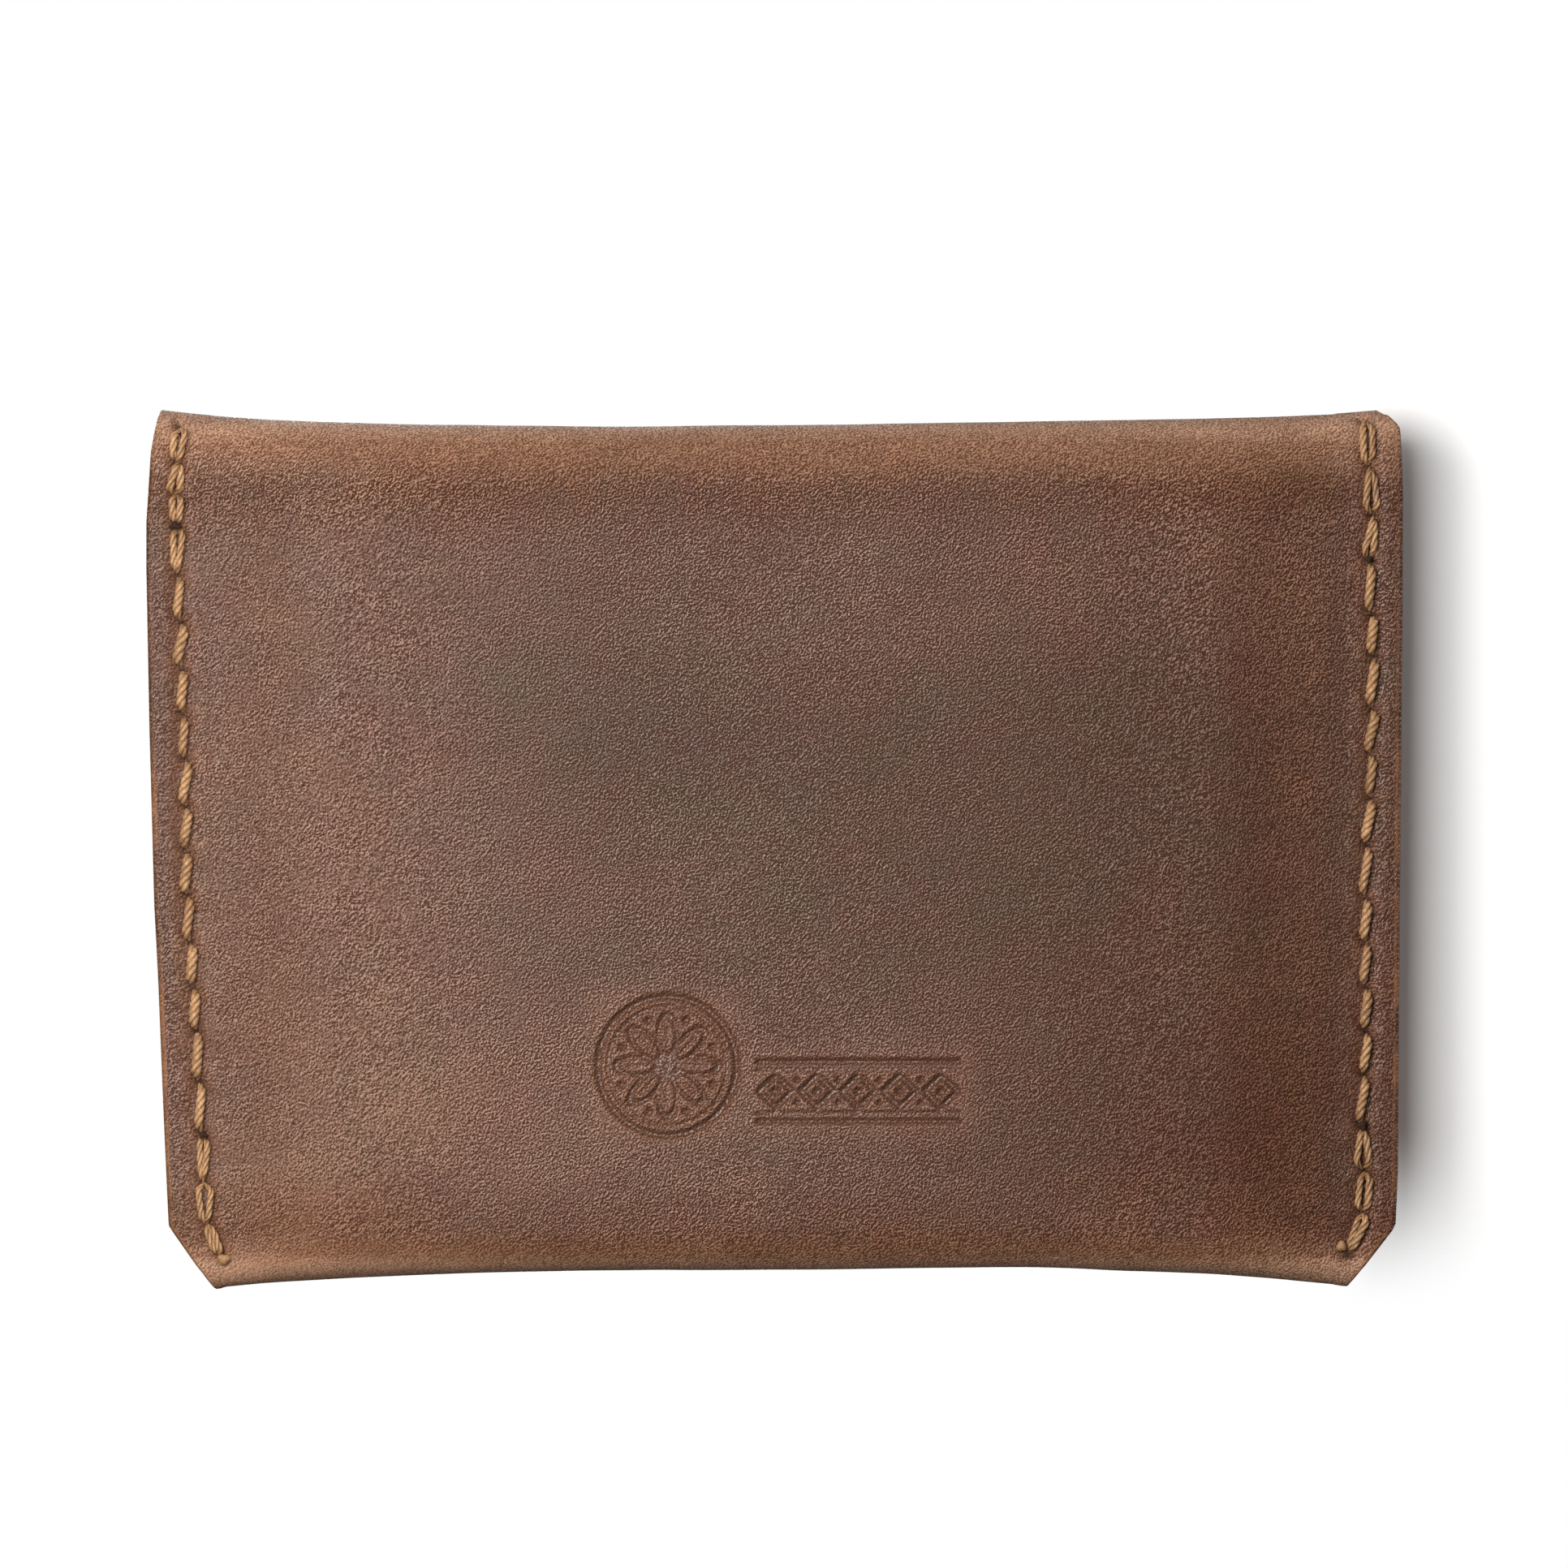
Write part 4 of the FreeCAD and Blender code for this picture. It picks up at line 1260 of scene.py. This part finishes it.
def snap_spring():
    """An open ring of round wire."""
    ring_radius, wire_radius, ring_y = 3.33, 0.28, 2.30
    steps, sides = 90, 10
    verts, faces = [], []
    for i in range(steps + 1):
        angle = math.radians(100) + math.radians(344) * i / steps
        ray = np.array([math.cos(angle), 0, math.sin(angle)])
        centre = np.array([SNAP_X, ring_y, SNAP_Z]) + ray * ring_radius
        for k in range(sides):
            turn = 2 * math.pi * k / sides
            offset = ray * math.cos(turn) + np.array([0, 1.0, 0]) * math.sin(turn)
            verts.append(centre + offset * wire_radius)
    for i in range(steps):
        for k in range(sides):
            k2 = (k + 1) % sides
            faces.append([i * sides + k, i * sides + k2, (i + 1) * sides + k2,
                          (i + 1) * sides + k])
    faces.append(list(range(sides))[::-1])
    faces.append([steps * sides + k for k in range(sides)])
    return tidy(new_mesh("snap_ring_spring", verts, faces, {"rest_co": verts}, STEEL))


attach(snap_spring(), "flap", "snap_spring")


# ------------------------------------------------------------------ stage
def facing(tree, geometry, direction):
    """Cosine between the view ray and a direction."""
    return tree.node("VectorMath", {"operation": "DOT_PRODUCT"},
                     i0=geometry.outputs["Incoming"], i1=direction).outputs["Value"]


def floor_opacity(tree, geometry, camera_ray):
    """A floor seen edge-on would draw a line across the picture, so it fades there."""
    grazing = tree.math("ABSOLUTE", facing(tree, geometry, (0, 0, 1)))
    return tree.mul(tree.fit(grazing, over=(0.13, 0.22)), camera_ray)


def backdrop_opacity(tree, geometry, camera_ray):
    """Seen only from the front, and only on the right where it catches the shadow."""
    front = tree.sub(1.0, geometry.outputs["Backfacing"])
    square_on = tree.fit(facing(tree, geometry, (0, -1, 0)), over=(0.93, 0.97))
    solid = tree.mul(tree.mul(front, square_on), camera_ray)
    place = tree.node("SeparateXYZ", i0=geometry.outputs["Position"])
    solid = tree.mul(solid, tree.fit(place.outputs[0], over=(0.0475, 0.0505)))
    return tree.mul(solid, tree.fit(place.outputs[2], over=(-0.003, 0.014),
                                    interpolation="SMOOTHSTEP"))


def stage_material(name, opacity):
    """Matt pale grey where opacity says so, clear elsewhere and to all but camera rays."""
    tree = Tree(name)
    grey = 0.86
    geometry = tree.node("NewGeometry")
    speckle = tree.noise(geometry.outputs["Position"], scale=900.0)
    base = tree.mix(speckle, rgb(*[grey * 0.985] * 3), rgb(*[grey] * 3))
    diffuse = tree.node("BsdfDiffuse", Color=base,
                        Normal=tree.bump(speckle, strength=0.05, distance=0.0001))
    solid = opacity(tree, geometry, tree.node("LightPath").outputs["Is Camera Ray"])
    return tree.finish(tree.node("MixShader", i0=solid, i2=diffuse.outputs[0],
                                 i1=tree.node("BsdfTransparent").outputs[0]))


def stage_plane(name, corners, opacity):
    material = stage_material(name, opacity)
    mesh = bpy.data.meshes.new(name)
    mesh.from_pydata([tuple(np.array(corner) * M) for corner in corners], [], [(0, 1, 2, 3)])
    mesh.materials.append(material)
    obj = bpy.data.objects.new(name, mesh)
    bpy.context.scene.collection.objects.link(obj)
    return obj


STAGE_HALF, FLOOR_Z, BACKDROP_Y = 1400, -0.06, 6.35
square = [(-STAGE_HALF, -STAGE_HALF), (STAGE_HALF, -STAGE_HALF),
          (STAGE_HALF, STAGE_HALF), (-STAGE_HALF, STAGE_HALF)]
floor = stage_plane("pale_floor", [(a, b, FLOOR_Z) for a, b in square], floor_opacity)
stage_plane("pale_backdrop", [(a, BACKDROP_Y, b) for a, b in square], backdrop_opacity)


# ------------------------------------------------------------------ world, lights, camera (metres)
def build_world():
    """White to the camera, a faint cool fill to everything else."""
    world = bpy.data.worlds.new("soft_studio")
    bpy.context.scene.world = world
    world.use_nodes = True
    nodes, links = world.node_tree.nodes, world.node_tree.links
    nodes.clear()
    mixer = nodes.new("ShaderNodeMixShader")
    ray = nodes.new("ShaderNodeLightPath")
    links.new(ray.outputs["Is Camera Ray"], mixer.inputs[0])
    # mixer input, colour, strength
    for slot, colour, strength in ((1, rgb(0.98, 0.985, 1.0), 0.14), (2, rgb(1, 1, 1), 1.0)):
        background = nodes.new("ShaderNodeBackground")
        background.inputs[0].default_value = colour
        background.inputs[1].default_value = strength
        links.new(background.outputs[0], mixer.inputs[slot])
    output = nodes.new("ShaderNodeOutputWorld")
    links.new(mixer.outputs[0], output.inputs[0])


def area_light(name, location, target, width, height, power, colour):
    lamp = bpy.data.lights.new(name, "AREA")
    lamp.shape = "RECTANGLE"
    lamp.size = width
    lamp.size_y = height
    lamp.energy = power
    lamp.color = colour
    obj = bpy.data.objects.new(name, lamp)
    bpy.context.scene.collection.objects.link(obj)
    obj.location = location
    obj.rotation_mode = "QUATERNION"
    aim = Vector(target) - Vector(location)
    obj.rotation_quaternion = aim.to_track_quat("-Z", "Y")
    obj.visible_camera = False
    return obj


def link_to_floor(light, state):
    """Near lights would leave hot spots on the floor, so it has a wide overhead light."""
    receivers = bpy.data.collections.new(light.name + "_receivers")
    receivers.objects.link(floor)
    light.light_linking.receiver_collection = receivers
    receivers.collection_objects[0].light_linking.link_state = state


build_world()
WHITE, KEY_WHITE = (1, 1, 1), (1.0, 0.99, 0.975)
MIDDLE = (0.0, 0.0, 0.036)
# name, location, target, width, height, power, colour
LIGHTS = [
    ("key_left", (-0.128, -0.245, 0.085), (-0.06, 0.0, 0.036), 0.11, 0.20, 0.95, KEY_WHITE),
    ("key_over", (-0.028, -0.262, 0.085), (-0.02, 0.0, 0.036), 0.10, 0.20, 0.62, KEY_WHITE),
    ("fill_right", (0.45, -0.40, 0.25), MIDDLE, 0.35, 0.35, 0.16, WHITE),
    ("rear_soft", (-0.12, 0.85, 0.036), MIDDLE, 0.45, 0.30, 7.0, WHITE),
    ("rear_high", (-0.28, 0.62, 0.34), MIDDLE, 0.60, 0.50, 2.2, WHITE),
    ("side_right", (0.62, 0.26, 0.10), MIDDLE, 0.30, 0.30, 1.6, WHITE),
    ("top_soft", (0.0, -0.03, 0.75), (0.0, 0.0, 0.070), 0.50, 0.30, 1.4, WHITE),
    ("floor_soft", (0.10, 0.10, 1.30), (0.0, 0.0, 0.0), 1.30, 1.30, 18.5, WHITE),
]
for settings in LIGHTS:
    light = area_light(*settings)
    link_to_floor(light, "INCLUDE" if light.name == "floor_soft" else "EXCLUDE")

scene = bpy.context.scene
scene.view_settings.view_transform = "Standard"
scene.view_settings.look = "None"

CAMERA_DISTANCE = 0.90    # from the plane of the back panel
VIEW_WIDTH = 0.13054      # picture width at that plane
camera = bpy.data.cameras.new("camera")
camera.sensor_width = 36.0
camera.lens = 36.0 * CAMERA_DISTANCE / VIEW_WIDTH
camera.clip_start = 0.05
camera.clip_end = 20.0
camera_object = bpy.data.objects.new("camera", camera)
scene.collection.objects.link(camera_object)
camera_object.location = (0.00081, -0.005 - CAMERA_DISTANCE, 0.04216)
camera_object.rotation_euler = (math.radians(90), 0, 0)
scene.camera = camera_object
